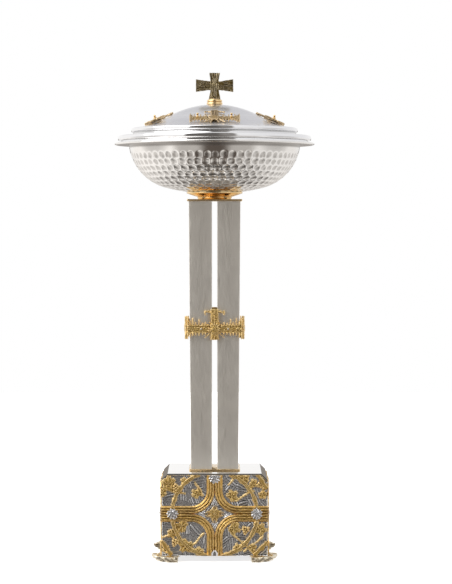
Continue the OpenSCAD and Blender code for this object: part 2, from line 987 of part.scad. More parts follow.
module outer_bowl() {
    flange = bowl_wall * 1.25;
    wall = spun(0, lip_start);
    foot = wall[len(wall) - 1];
    inner = spun(bowl_wall, lip_start);
    neck = inner[len(inner) - 1];
    roll = lip_t / 2;
    color(silver)
        difference() {
            rotate_extrude()
                polygon(concat(wall,
                    [[foot[0] + 2, lip_z - flange - 4.5], [foot[0] + 5.5, lip_z - flange - 1.2],
                        [foot[0] + 12, lip_z - flange]],
                    arc([lip_r - roll, lip_z - roll], roll, bead_start, bead_end, 14),
                    [[neck[0] + 4, lip_z], [neck[0] + 1.5, lip_z - 1.5]],
                    reversed(inner)));
            rod(bore_r, bowl_z - eps, bowl_z + bowl_wall + eps);
        }
}

// Basin: it lifts out of the bowl, and its rim stands on the bowl's lip

module inner_basin() {
    roll = rim_t / 2;
    under = ledge_z - ledge_drop - bowl_wall;
    rim_c = [rim_r - roll, ledge_z - roll];
    color(silver)
        rotate_extrude()
            polygon(concat(
                spun(-bowl_wall, 90, basin_r),
                [[mouth_r + bowl_wall, under - 1.5], [mouth_r + bowl_wall + 1.5, under]],
                [[rim_c[0] - roll, under], [rim_c[0] - roll + 1.5, rim_c[1] - roll / 2],
                    [rim_c[0] - roll, lip_z], [rim_c[0] - roll + 3, lip_z]],
                arc(rim_c, roll, rim_start, bead_end, 16),
                [[rim_c[0] - roll + 1, ledge_z - ledge_drop], [mouth_r + 2, ledge_z - ledge_drop],
                    [mouth_r, ledge_z - ledge_drop - 2]],
                reversed(spun(0, 90, basin_r))));
}

// Lid

module lid_blank() {
    top = dome(0);
    edge = top[len(top) - 1];
    seat = ledge_z - ledge_drop;
    skirt = edge[0] + bead_r;
    lip = mouth_r - lip_clear;
    shelf = seat + 6;
    rotate_extrude()
        polygon(concat(top,
            arc([edge[0] + bead_r * 0.8, edge[1] - bead_r], bead_r, 80, -80, 12),
            [[skirt, edge[1] - 2 * bead_r - 0.5], [skirt, seat], [skirt - lid_wall, seat],
                [skirt - lid_wall, shelf], [lip, shelf], [lip, seat - lip_depth],
                [lip - lid_wall, seat - lip_depth], [lip - lid_wall, shelf + lid_wall]],
            reversed(dome(-lid_wall))));
}

module lid_stud_axes() {
    for (i = [0 : 3])
        at_side(i)
            for (x = [-lid_stud_x, lid_stud_x])
                translate([x, -lid_stud_r, 0])
                    children();
}

module lid() {
    color(silver)
        difference() {
            lid_blank();
            rod(finial_rod_r + screw_clear, lid_top_z - 4 * lid_wall, lid_top_z + eps);
            lid_stud_axes() rod(small_bore_r, lid_stud_z - 3 * plaque_t, lid_stud_z + 3 * plaque_t);
        }
}

module lid_plaque(i) {
    color(gold)
        difference() {
            at_side(i)
                translate([0, -lid_plaque_r, lid_foot_z])
                    rotate([lid_slope, 0, 0])
                        translate([0, lid_reach, 0])
                            linear_extrude(plaque_t)
                                motif(lid_plaque_w / 2, lid_beam, lid_upright - lid_beam / 2, lid_beam * 0.55,
                                    upright_w, crossbar_w);
            at_side(i)
                for (x = [-lid_stud_x, lid_stud_x])
                    translate([x, -lid_stud_r, 0])
                        rod(small_bore_r, lid_plaque_z - 3 * plaque_t, lid_plaque_z + plaque_t);
        }
}

module lid_studs() {
    lift = plaque_stud_r * tan(lid_slope) + curve_clear;
    ball_r = plaque_stud_r * 0.8;
    color(gold)
        lid_stud_axes()
            union() {
                rod(small_screw_r, lid_stud_z - lid_wall * 4.5, lid_plaque_z + lid_stud_h - ball_r);
                translate([0, 0, lid_plaque_z + lid_stud_h - ball_r])
                    sphere(r = ball_r);
                translate([0, 0, lid_plaque_z + lift])
                    cylinder(r1 = plaque_stud_r, r2 = plaque_stud_r / 2, h = lid_stud_h - lift - ball_r);
            }
}

module lid_nuts() {
    color(steel)
        lid_stud_axes()
            difference() {
                translate([0, 0, lid_stud_z - lid_wall * 4])
                    cylinder(r = small_screw_r * 2, h = lid_wall * 1.5, $fn = 6);
                rod(small_bore_r, lid_stud_z - lid_wall * 5, lid_stud_z);
            }
}

// Finial

module finial_collar() {
    r = finial_r;
    h = finial_h;
    low_r = h * 0.22;
    high_r = h * 0.2;
    dip = lid_top_z - cap_r + sqrt(pow(cap_r + curve_clear, 2) - r * r) - finial_z;
    color(pale_gold)
        difference() {
            translate([0, 0, finial_z])
                rotate_extrude()
                    polygon(concat([[0, 0], [r * 0.5, dip * 0.25], [r - 2 * low_r, dip * 0.6]],
                        arc([r - low_r, h * 0.24], low_r, -80, 80, 8),
                        arc([r - low_r - 0.6, h * 0.68], high_r, -70, 90, 8),
                        [[r * 0.78, h * 0.92], [r * 0.74, h], [0, h]]));
            rod(finial_rod_r + screw_clear, finial_z - eps, cross_z + eps);
        }
}

module finial_cross() {
    a = cross_arm_at;
    color(bronze)
        difference() {
            translate([0, cross_t / 2, cross_z])
                rotate([90, 0, 0])
                    union() {
                        linear_extrude(cross_t)
                            polygon(concat(half_upright(1), reversed(half_upright(-1))));
                        translate([0, 0, cross_t * 0.1])
                            linear_extrude(cross_t * 0.8)
                                polygon(concat(half_cross(1), reversed(half_cross(-1))));
                    }
            rod(finial_rod_r + screw_clear, cross_z - eps, cross_z + a / 2);
        }
}

function half_upright(s) = [
    [s * upright_foot / 2, 0],
    [s * upright_root / 2, cross_arm_at - arm_root / 2],
    [s * upright_root / 2, cross_arm_at + arm_root / 2],
    [s * upright_top / 2, cross_h]
];

function half_cross(s) = [
    [s * upright_foot / 2, 0],
    [s * upright_root / 2, cross_arm_at - arm_root / 2],
    [s * cross_w / 2, cross_arm_at - arm_end / 2],
    [s * cross_w / 2, cross_arm_at + arm_end / 2],
    [s * upright_root / 2, cross_arm_at + arm_root / 2],
    [s * upright_top / 2, cross_h]
];

module finial_rod() {
    color(steel)
        rod(finial_rod_r, lid_top_z - lid_wall - nut_h - 1, cross_z + cross_arm_at / 2 - fit);
}

module finial_nut() {
    under = lid_top_z - lid_wall - fit;
    color(steel)
        difference() {
            translate([0, 0, under - nut_h]) cylinder(r = nut_r, h = nut_h, $fn = 6);
            rod(finial_rod_r + screw_clear, under - nut_h - eps, under + eps);
        }
}

foot(0);  // foot_front_left
foot(1);  // foot_front_right
foot(2);  // foot_rear_right
foot(3);  // foot_rear_left
foot_screws();
floor_plate();
base_shell();
panel(0);  // panel_front
panel(1);  // panel_right
panel(2);  // panel_rear
panel(3);  // panel_left
cross(0);  // cross_front
cross(1);  // cross_right
cross(2);  // cross_rear
cross(3);  // cross_left
vine(0);  // vine_front
vine(1);  // vine_right
vine(2);  // vine_rear
vine(3);  // vine_left
lozenge(0);  // lozenge_front
lozenge(1);  // lozenge_right
lozenge(2);  // lozenge_rear
lozenge(3);  // lozenge_left
cross_studs();
panel_screws();
base_top();
column_base_plate();
column(0);  // column_front_left
column(1);  // column_front_right
column(2);  // column_rear_right
column(3);  // column_rear_left
lower_plugs();
upper_plugs();
lower_screws();
upper_screws();
collar_band();
collar_plaque(0);  // collar_plaque_front
collar_plaque(1);  // collar_plaque_right
collar_plaque(2);  // collar_plaque_rear
collar_plaque(3);  // collar_plaque_left
collar_studs();
column_top_plate();
neck_ring();
saucer();
bowl_bolt();
bowl_nut();
outer_bowl();
inner_basin();
lid();
lid_plaque(0);  // lid_plaque_front
lid_plaque(1);  // lid_plaque_right
lid_plaque(2);  // lid_plaque_rear
lid_plaque(3);  // lid_plaque_left
lid_studs();
lid_nuts();
finial_collar();
finial_cross();
finial_rod();
finial_nut();
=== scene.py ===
"""Looks of a portable baptismal font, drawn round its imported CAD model.

Meshes are worked out in millimetres, in the model's own frame, and scaled to metres when they are
added. Reliefs and castings are drawn flat, as points (x, y, out), and then laid on their side.
"""

from math import asin, atan2, cos, degrees, hypot, pi, radians, sin, sqrt

import bmesh
import bpy
import numpy as np
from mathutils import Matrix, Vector


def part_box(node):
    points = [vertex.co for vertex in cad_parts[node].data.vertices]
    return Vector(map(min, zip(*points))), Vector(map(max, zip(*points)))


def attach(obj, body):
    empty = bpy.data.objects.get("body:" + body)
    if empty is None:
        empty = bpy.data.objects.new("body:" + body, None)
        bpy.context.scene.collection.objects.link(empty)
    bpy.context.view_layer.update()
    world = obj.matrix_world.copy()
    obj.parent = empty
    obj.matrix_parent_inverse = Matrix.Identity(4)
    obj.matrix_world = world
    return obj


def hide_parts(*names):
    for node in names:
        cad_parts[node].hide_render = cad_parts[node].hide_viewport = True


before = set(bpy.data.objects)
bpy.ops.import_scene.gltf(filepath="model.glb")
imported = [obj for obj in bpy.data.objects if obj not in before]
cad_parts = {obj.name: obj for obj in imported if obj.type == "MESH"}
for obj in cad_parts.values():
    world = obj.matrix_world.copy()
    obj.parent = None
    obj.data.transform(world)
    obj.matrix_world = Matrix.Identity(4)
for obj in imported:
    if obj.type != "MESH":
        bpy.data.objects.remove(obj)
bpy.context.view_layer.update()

MM = 0.001
SIDES = ("front", "right", "rear", "left")
CORNERS = {"front_left": (-1, -1), "front_right": (1, -1), "rear_right": (1, 1),
           "rear_left": (-1, 1)}
QUARTERS = ((1, 0), (0, 1), (-1, 0), (0, -1))
rng = np.random.default_rng(11)


def box(name):
    """Lowest and highest corner of a CAD node, in millimetres."""
    low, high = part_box(name)
    return np.array(low) / MM, np.array(high) / MM


# Sizes, in millimetres: from the CAD boxes, and the driving ones that a box doesn't give

FOOT_H = box("panel_front")[0][2]
BASE_HALF, _, BASE_TOP = box("base_top")[1]
BEVEL = 13
SHEET = 3
PANEL_T = 8
RELIEF_Z = FOOT_H + 90
RELIEF_LOW = FOOT_H - RELIEF_Z
RELIEF_HIGH = BASE_TOP - SHEET - RELIEF_Z
SIDE_HIGH = BASE_TOP - BEVEL - SHEET * sqrt(2) - RELIEF_Z
PANEL_TOPS = (RELIEF_HIGH, SIDE_HIGH) * 2
ARM_HALF = 17
SWEEP_C = 50
RING_R = 91
STUD_OUT = 90
STUD_R = 12.2
LOZENGE_HALF = (20.0, 18.5)
FOOT_INSET = 34
FOOT_REACH = 22

COLUMN_W = 45.5
COLUMN_ROUND = 1.2
PLATE_ROUND = 1.5
BAND_LOW, BAND_HIGH = box("collar_band")
COLLAR_Z = BAND_LOW[2] / 2 + BAND_HIGH[2] / 2
BAND_OUT = BAND_HIGH[0]
BEAM_H = 16.5
COLLAR_HALF = box("collar_plaque_front")[1][0] - 3.4
COLLAR_T = 8.4
COLLAR_PIN_X = 29
UPRIGHT_W = 16
CROSSBAR = 43

LIP_R, _, LIP_Z = box("outer_bowl")[1]
LIP_W = 30.1
LIP_T = 5
LIP_DROP = 7.3
KNUCKLE_R = 108
KNUCKLE_C = LIP_R - LIP_W - KNUCKLE_R
KNUCKLE_Z = LIP_Z + LIP_DROP
FLOOR_SLOPE = 14
FLOOR_R = KNUCKLE_R + KNUCKLE_C / sin(radians(FLOOR_SLOPE))
WALL = 2
BOWL_SLOPE = 80

RIM_R, _, LEDGE_Z = box("inner_basin")[1]
RIM_T = 10.9
LEDGE_DROP = 0.6
BASIN_R = KNUCKLE_R - WALL - 18
MOUTH_R = KNUCKLE_C + BASIN_R

LID_TOP = box("lid")[1][2]
CAP_R = 205
TURN = radians(30)
EDGE = radians(8)
DOME_R = MOUTH_R + 6
FLARE_R = (DOME_R - CAP_R * sin(TURN)) / (sin(TURN) - sin(EDGE))
LID_PLAQUE_R = DOME_R - 22
LID_BEAM = 17
LID_REACH = LID_BEAM * 1.38
LID_UPRIGHT = 52.5
LID_PLAQUE_HALF = 53.5
LID_PLAQUE_T = 5.2
LID_PIN_X = 36
SAUCER_EDGE = 3
SEAT_GAP = 0.3

# Castings: size of a voxel, rounds of softening, depth and seed of the tool marks
CASTINGS = {
    "vine": (0.8, 2, 0.28, 500), "studs": (0.6, 0, 0.12, 640), "lozenge": (0.55, 1, 0.24, 700),
    "foot": (0.8, 2, 0.1, 820), "collar": (0.62, 2, 0.26, 200), "lid": (0.7, 2, 0.3, 260),
}


# Points and faces


def hashed(cells, seed):
    """A repeatable number from 0 to 1 for each whole-number cell."""
    n = (cells * np.array([73856093, 19349663, 83492791])).sum(axis=-1) + seed * 961748927
    n = (n ^ (n >> 13)) * 1274126177
    n = n ^ (n >> 16)
    return (n & 0xFFFF) / 0xFFFF


def noise(points, size, seed):
    """Smooth noise from -1 to 1 that swings once in each size; size may differ by axis."""
    q = points / size
    cell = np.floor(q).astype(np.int64)
    f = q - cell
    f = f * f * (3 - 2 * f)
    total = np.zeros(points.shape[:-1])
    for corner in np.ndindex(2, 2, 2):
        weight = np.where(corner, f, 1 - f).prod(axis=-1)
        total += weight * hashed(cell + np.array(corner), seed)
    return 2 * total - 1


def flat(x, y, out=0.0):
    """Points (x, y, out) from arrays of the same shape."""
    return np.stack(np.broadcast_arrays(x, y, out), axis=-1).astype(float)


def circle(count):
    """Angles spaced evenly round a full turn."""
    return np.linspace(0, 2 * pi, count, endpoint=False)


def unit(angle):
    """The direction (cosine, sine) of each angle."""
    return np.stack([np.cos(angle), np.sin(angle)], axis=-1)


def spot(angle, radius, out=0.0, centre=(0, 0)):
    """Points (x, y, out) at an angle and a distance from a centre."""
    return flat(centre[0] + radius * np.cos(angle), centre[1] + radius * np.sin(angle), out)


def limit(points, axis, low, high):
    """Moves points back between two limits on one axis."""
    points[:, axis] = np.clip(points[:, axis], low, high)


def grid_faces(rows, columns, round_columns=False):
    """Four-cornered faces between neighbours in a grid of points."""
    r = np.arange(rows - 1)[:, None]
    c = np.arange(columns if round_columns else columns - 1)[None, :]
    c2 = (c + 1) % columns
    corners = [r * columns + c, r * columns + c2, (r + 1) * columns + c2, (r + 1) * columns + c]
    return np.stack(np.broadcast_arrays(*corners), axis=-1).reshape(-1, 4).tolist()


def merge(parts):
    """One list of points and one of faces from several."""
    points, faces, start = [], [], 0
    for p, f in parts:
        points.append(p)
        faces += [[start + k for k in face] for face in f]
        start += len(p)
    return np.concatenate(points), faces


def tube(path, wide, high=None, sides=10):
    """A closed tube along a path. Wide is half its width and high half its depth, each one
    number or one for each point of the path."""
    path = np.asarray(path, float)
    wide = np.broadcast_to(wide, len(path)).astype(float)
    high = wide if high is None else np.broadcast_to(high, len(path)).astype(float)
    along = np.gradient(path, axis=0)
    along /= np.linalg.norm(along, axis=1, keepdims=True)
    side = np.cross(along, [0, 0, 1])
    steep = np.linalg.norm(side, axis=1) < 1e-3
    side[steep] = [1, 0, 0]
    side /= np.linalg.norm(side, axis=1, keepdims=True)
    up = np.cross(side, along)
    turn = circle(sides)
    ring = (path[:, None] + (wide[:, None] * np.cos(turn))[..., None] * side[:, None]
            + (high[:, None] * np.sin(turn))[..., None] * up[:, None])
    faces = grid_faces(len(path), sides, True)
    faces.append(list(range(sides)))
    faces.append(list(range((len(path) - 1) * sides, len(path) * sides)))
    return ring.reshape(-1, 3), faces


def ball(centre, size, sides=10):
    """A closed ellipsoid with half sizes (x, y, out)."""
    a = np.radians(np.linspace(172, 8, 9))
    size = np.broadcast_to(size, 3)
    path = np.asarray(centre, float) + np.outer(np.cos(a), [size[0], 0, 0])
    return tube(path, size[1] * np.sin(a), size[2] * np.sin(a), sides)


def slab(outline, low, high):
    """A flat plate with that outline between two depths."""
    x, y = np.transpose(outline)
    return loft([flat(x, y, low), flat(x, y, high)])


def arc(centre, radius, start, end, step=1.6):
    """Points (radius, height) on an arc between two angles in degrees."""
    count = max(2, int(abs(radians(end - start)) * radius / step))
    return np.array(centre) + radius * unit(np.radians(np.linspace(start, end, count + 1)))


def bead(centre, radius, start, end, step=0.7):
    """Points on a rim with a flatter face than an arc's."""
    count = int(abs(radians(end - start)) * radius / step)
    wave = unit(np.radians(np.linspace(start, end, count + 1)))
    return np.array(centre) + radius * np.sign(wave) * np.abs(wave) ** 0.58


def spin(outline, segments):
    """An outline of (radius, height) that starts and ends on the axis, turned round it."""
    outline = np.asarray(outline, float)
    radius, height = outline[:, :1], outline[:, 1:]
    points = spot(circle(segments), radius, height)
    return points.reshape(-1, 3), grid_faces(len(outline), segments, True)


def loft(rings):
    """A closed solid through several rings with the same number of points."""
    rings = np.asarray(rings, float)
    count, n = rings.shape[:2]
    faces = grid_faces(count, n, True)
    faces += [list(range(n))[::-1], list(range((count - 1) * n, count * n))]
    return rings.reshape(-1, 3), faces


def rounded_square(half, radius, z, centre=(0, 0)):
    """A square ring with round corners at a height."""
    x, y = (unit(np.radians(np.linspace(0, 90, 5))) * radius + (half - radius)).T
    ring = np.concatenate([np.stack([c * x - s * y, s * x + c * y], axis=1) for c, s in QUARTERS])
    return flat(*(ring + centre).T, z)


def turned(points, side):
    """Points of the front turned to another side: 0 front, 1 right, 2 rear, 3 left."""
    c, s = QUARTERS[side]
    x, y, z = np.moveaxis(points, -1, 0)
    return flat(c * x - s * y, s * x + c * y, z)


def laid(points, side, face=BASE_HALF, height=RELIEF_Z):
    """Flat points (x, y, out) laid on an upright side at a distance from the axis."""
    x, y, out = np.moveaxis(points, -1, 0)
    return turned(flat(x, -(face + out), height + y), side)


# Objects


def build(name, points, faces, sharp=35, weld=0.0):
    """A mesh object from points in millimetres, with its faces turned outwards."""
    mesh = bpy.data.meshes.new(name)
    mesh.from_pydata((np.asarray(points) * MM).tolist(), [], faces)
    bm = bmesh.new()
    bm.from_mesh(mesh)
    if weld:
        bmesh.ops.remove_doubles(bm, verts=bm.verts, dist=weld * MM)
    bmesh.ops.recalc_face_normals(bm, faces=bm.faces)
    bm.to_mesh(mesh)
    bm.free()
    mesh.shade_smooth()
    mesh.set_sharp_from_angle(angle=radians(sharp))
    made = bpy.data.objects.new(name, mesh)
    bpy.context.scene.collection.objects.link(made)
    return made


def read(items, key, width, kind=float):
    """One attribute of a mesh's points, edges or corners as an array."""
    values = np.empty(len(items) * width, kind)
    items.foreach_get(key, values)
    return values.reshape(-1, width)


def mark_hollows(mesh, rounds=2):
    """Keeps, for each point, how far it lies in a hollow (above 0) or on a ridge (below 0)."""
    points = read(mesh.vertices, "co", 3)
    normals = read(mesh.vertex_normals, "vector", 3)
    a, b = read(mesh.edges, "vertices", 2, np.int32).T
    count = len(points)
    degree = np.maximum(np.bincount(a, minlength=count) + np.bincount(b, minlength=count), 1)

    def around(values):
        total = np.bincount(a, values[b], count) + np.bincount(b, values[a], count)
        return total / degree

    mean = np.stack([around(points[:, k]) for k in range(3)], axis=1)
    span = np.linalg.norm(points[a] - points[b], axis=1)
    length = (np.bincount(a, span, count) + np.bincount(b, span, count)) / degree
    bend = ((mean - points) * normals).sum(axis=1) / np.maximum(length, 1e-9)
    for _ in range(rounds):
        bend = (bend + around(bend)) / 2
    mesh.attributes.new("cavity", "FLOAT", "POINT").data.foreach_set("value", bend)


def piece(made, finish, body, nodes=(), look=None):
    """Gives an object its finish, or another look of it, ties it to its body and hides its CAD
    nodes.
    """
    mark_hollows(made.data)
    made.data.materials.clear()
    made.data.materials.append(FINISHES[look or finish])
    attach(made, body)
    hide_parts(*nodes)


def add(name, shape, finish, cad_node, body="stand", look=None, sharp=50, weld=0.0):
    """A finished piece from its points and faces, in the place of a CAD node."""
    piece(build(name, *shape, sharp, weld), finish, body, [cad_node], look)


def add_casting(name, points, faces, cad_node, look, body="stand"):
    """A gilt casting with the look of one of the gilts."""
    add(name, (points, faces), "gilt_casting", cad_node, body, look, 80)


def add_turned(name, outline, segments, finish, cad_node, body="stand", sharp=60):
    """A turned piece. Its points on the axis are joined."""
    add(name, spin(outline, segments), finish, cad_node, body, None, sharp, 0.01)


def cast(parts, voxel, soften):
    """One skin over all the parts: its points, normals and faces."""
    rough = build("rough", *merge(parts))
    skin = rough.modifiers.new("skin", "REMESH")
    skin.mode = "VOXEL"
    skin.voxel_size = voxel * MM
    smooth = rough.modifiers.new("soften", "SMOOTH")
    smooth.iterations = soften
    seen = rough.evaluated_get(bpy.context.evaluated_depsgraph_get())
    mesh = bpy.data.meshes.new_from_object(seen)
    points = read(mesh.vertices, "co", 3) / MM
    normals = read(mesh.vertex_normals, "vector", 3)
    faces = read(mesh.loops, "vertex_index", 1, np.int32).reshape(-1, 4).tolist()
    old = rough.data
    bpy.data.objects.remove(rough)
    bpy.data.meshes.remove(old)
    bpy.data.meshes.remove(mesh)
    return points, normals, faces


def tooled(parts, kind, i=0):
    """The skin over the parts of a casting, with tool marks: its points and faces."""
    voxel, soften, depth, seed = CASTINGS[kind]
    points, normals, faces = cast(parts, voxel, soften)
    seed += i
    marks = (noise(points, 3.1, seed) + 0.6 * noise(points, 1.5, seed + 1)
             - 0.9 * np.abs(noise(points, np.array([5.0, 1.7, 3.0]), seed + 2)))
    return points + normals * (depth * marks)[:, None], faces


# Finishes


def node(tree, kind, inputs=(), **settings):
    """Adds a shader node. An input given a socket is linked to it, any other is set."""
    made = tree.nodes.new(kind)
    for key, value in settings.items():
        setattr(made, key, value)
    for key, value in dict(inputs).items():
        if isinstance(value, bpy.types.NodeSocket):
            tree.links.new(value, made.inputs[key])
        else:
            made.inputs[key].default_value = value
    return made


def maths(operation, a, b=0.0):
    """A sum, product or other result of a socket and another value."""
    return node(a.id_data, "ShaderNodeMath", {0: a, 1: b}, operation=operation).outputs[0]


def times(value, *others):
    """The product of several values."""
    for other in others:
        value = maths("MULTIPLY", value, other)
    return value


def ranged(value, low, high, to_low=0.0, to_high=1.0):
    """The value moved from one range to another and kept inside it."""
    inputs = {"Value": value, "From Min": low, "From Max": high, "To Min": to_low,
              "To Max": to_high}
    return node(value.id_data, "ShaderNodeMapRange", inputs).outputs[0]


def mixed(share, a, b):
    """A colour between two, each of them a socket or three numbers."""
    a, b = (c if isinstance(c, bpy.types.NodeSocket) else (*c, 1) for c in (a, b))
    inputs = {0: share, 6: a, 7: b}
    return node(share.id_data, "ShaderNodeMix", inputs, data_type="RGBA").outputs[2]


def clouds_of(place, scale, detail=3.0):
    """Cloudy values round a half."""
    inputs = {"Vector": place, "Scale": scale, "Detail": detail}
    return node(place.id_data, "ShaderNodeTexNoise", inputs).outputs["Fac"]


def vector(kind, inputs, output=0, **settings):
    """What a vector node makes of a socket and other inputs."""
    return node(inputs[0].id_data, "ShaderNode" + kind, inputs, **settings).outputs[output]


def metal(name, bright, dull, hollow, rough, fine, relief, clouds, depth, grain=(1, 1, 1),
          satin_r=None):
    """A metal: clouds of two colours, grain in its gloss and surface, painted shade in its hollows
    and a painted highlight, a paler colour, on its ridges. With a satin radius its grain runs round
    the axis, and it is less glossy inside that radius."""
    material = bpy.data.materials.new(name)
    material.use_nodes = True
    tree = material.node_tree
    tree.nodes.clear()
    place = node(tree, "ShaderNodeTexCoord").outputs["Object"]
    lines = place
    if satin_r:
        x, y, z = node(tree, "ShaderNodeSeparateXYZ", {0: place}).outputs
        level = vector("CombineXYZ", {0: x, 1: y})
        radius = vector("VectorMath", {0: level}, "Value", operation="LENGTH")
        lines = vector("CombineXYZ", {0: radius, 1: z})
    lines = vector("VectorMath", {0: lines, 1: grain}, operation="MULTIPLY")
    cloud = clouds_of(place, clouds, 4.0)
    streak = clouds_of(lines, fine)
    cavity = node(tree, "ShaderNodeAttribute", attribute_name="cavity").outputs["Fac"]
    sunk, raised = ranged(cavity, 0.0, depth), ranged(cavity, 0.0, -depth)
    tone = ranged(maths("ADD", cloud, times(streak, 0.4)), 0.5, 0.9)
    colour = mixed(tone, bright, dull)
    # Ridges are mixed towards a paler colour: a painted highlight.
    colour = mixed(times(raised, 0.5), colour, [1.0 - 0.6 * (1.0 - c) for c in bright])
    # Hollows are mixed towards the hollow colour: painted shade.
    colour = mixed(sunk, colour, hollow)
    gloss = ranged(streak, 0.3, 0.7, rough * 0.75, rough * 1.3)
    gloss = maths("ADD", gloss, times(sunk, 0.18))
    if satin_r:
        gloss = times(gloss, ranged(radius, satin_r - 0.004, satin_r, 3.6, 1.0))
    bump = node(tree, "ShaderNodeBump", {"Height": streak, "Strength": relief, "Distance": 0.0004})
    shader = node(tree, "ShaderNodeBsdfPrincipled", {
        "Base Color": colour, "Metallic": 1.0, "Roughness": gloss, "Normal": bump.outputs[0]})
    node(tree, "ShaderNodeOutputMaterial", {0: shader.outputs[0]})
    return material


# Metals: bright and dull colour, colour of the painted shade in hollows, roughness, fineness and
# # strength of the grain, fineness of the clouds, bend of a full hollow, and for some the stretch
# of
# # the grain and a satin radius
METALS = {
    "gilt_casting": ((0.95, 0.60, 0.135), (0.66, 0.38, 0.065), (0.10, 0.046, 0.009), 0.29,
                     700, 0.4, 30, 0.055),
    # A brighter copy of the casting gilt for the collar, vine and lozenge: painted light.
    "gilt_painted_bright": ((1.0, 0.71, 0.24), (0.94, 0.60, 0.16), (0.17, 0.08, 0.017), 0.42,
                   700, 0.4, 30, 0.05),
    # A darker copy of the casting gilt for the lid plaques: painted shade.
    "gilt_painted_shade": ((0.72, 0.50, 0.21), (0.44, 0.29, 0.11), (0.05, 0.026, 0.008), 0.33,
                  700, 0.4, 30, 0.035),
    # A paler copy of the casting gilt for the feet: painted highlight.
    "gilt_painted_highlight": ((1.0, 0.92, 0.72), (0.86, 0.73, 0.50), (0.20, 0.13, 0.06), 0.30,
                  700, 0.4, 30, 0.055),
    "gilt_polished": ((0.98, 0.68, 0.26), (0.88, 0.56, 0.18), (0.35, 0.18, 0.05), 0.20,
                      900, 0.05, 30, 0.05),
    "gilt_bark": ((0.46, 0.33, 0.11), (0.20, 0.145, 0.05), (0.02, 0.014, 0.006), 0.34,
                  900, 0.4, 60, 0.035),
    "silver_ground": ((1.0, 0.99, 0.985), (0.70, 0.695, 0.70), (0.05, 0.05, 0.052), 0.28,
                      900, 0.6, 120, 0.06),
    "bright_stud": ((1.0, 0.995, 1.0), (0.90, 0.895, 0.91), (0.05, 0.05, 0.055), 0.22,
                    900, 0.1, 30, 0.06),
    "satin_steel": ((0.93, 0.88, 0.79), (0.82, 0.775, 0.695), (0.45, 0.43, 0.40), 0.46,
                    2600, 0.16, 8, 0.05, (1, 1, 0.012)),
    "mirror_steel": ((0.84, 0.825, 0.81), (0.79, 0.775, 0.76), (0.5, 0.5, 0.5), 0.03,
                     1500, 0.01, 12, 0.05, (1, 0.02, 1)),
    "hammered_silver": ((0.93, 0.91, 0.885), (0.85, 0.83, 0.805), (0.40, 0.38, 0.36), 0.12,
                        900, 0.08, 22, 0.05),
    "satin_silver": ((0.92, 0.915, 0.92), (0.86, 0.855, 0.865), (0.6, 0.6, 0.6), 0.085,
                     1600, 0.05, 10, 0.05, (1, 1, 1), DOME_R * MM),
    "inner_steel": ((0.25, 0.25, 0.27), (0.20, 0.20, 0.22), (0.08, 0.08, 0.09), 0.45,
                    500, 0.2, 30, 0.05),
    "fastener_steel": ((0.66, 0.60, 0.48), (0.54, 0.49, 0.39), (0.2, 0.17, 0.12), 0.28,
                       500, 0.2, 30, 0.05),
}
FINISHES = {name: metal(name, *values) for name, values in METALS.items()}

for cad_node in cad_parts.values():
    for cad_slot in cad_node.material_slots:
        slot_name = cad_slot.material.name.split(".")[0] if cad_slot.material else ""
        if slot_name in FINISHES:
            cad_slot.material = FINISHES[slot_name]


# Bowl, basin and lid: turned shapes


def spun(inset, end_slope, radius=KNUCKLE_R):
    """The floor and the wall of a spun bowl, from the axis to a slope of the wall."""
    slope = FLOOR_SLOPE
    middle = (0, KNUCKLE_Z + (FLOOR_R - KNUCKLE_R) * cos(radians(slope)))
    floor = arc(middle, FLOOR_R - (KNUCKLE_R - radius) - inset, -90, slope - 90)
    wall = arc((KNUCKLE_C, KNUCKLE_Z), radius - inset, slope - 90, end_slope - 90)
    return np.concatenate([floor, wall[1:]])


DENT_ROW = 15.8
DENT_PITCH = 17.6
DENT_DEPTH = 1.6
DENT_R = 8.9
FIRST_DENT_SLOPE = 69.6
LAST_DENT_R = 66


def hammer_marks(outline, segments):
    """Depth of the round hammer marks at each point of an outline turned round the axis."""
    radius = outline[:, 0]
    along = np.concatenate([[0], np.cumsum(np.linalg.norm(np.diff(outline, axis=0), axis=1))])
    first = along[-1] - radians(BOWL_SLOPE - FIRST_DENT_SLOPE) * KNUCKLE_R
    rows = np.arange(first, np.interp(LAST_DENT_R, radius, along), -DENT_ROW)
    count = np.round(2 * pi * np.interp(rows, along, radius) / DENT_PITCH).astype(int)
    shift = rng.random(len(rows))
    wander = rng.normal(0, 0.035, (len(rows), count.max()))
    drift = rng.normal(0, 0.45, (len(rows), count.max()))
    depth = DENT_DEPTH * rng.uniform(0.85, 1.12, (len(rows), count.max()))
    s, angle = np.meshgrid(along, circle(segments), indexing="ij")
    radius = np.broadcast_to(radius[:, None], s.shape)
    nearest = np.round((first - s) / DENT_ROW).astype(int)
    height = np.zeros(s.shape)
    for dj in (-1, 0, 1):
        j = nearest + dj
        inside = (j >= 0) & (j < len(rows))
        j = np.clip(j, 0, len(rows) - 1)
        k0 = np.round(angle / (2 * pi) * count[j] - shift[j]).astype(int)
        for dk in (-1, 0, 1):
            k = (k0 + dk) % count[j]
            centre = 2 * pi * (k + shift[j] + wander[j, k]) / count[j]
            across = (angle - centre + pi) % (2 * pi) - pi
            gap = (s - rows[j] - drift[j, k]) ** 2 + (radius * across) ** 2
            mark = depth[j, k] * (gap / DENT_R ** 2 - 1)
            height = np.where(inside, np.minimum(height, mark), height)
    return height


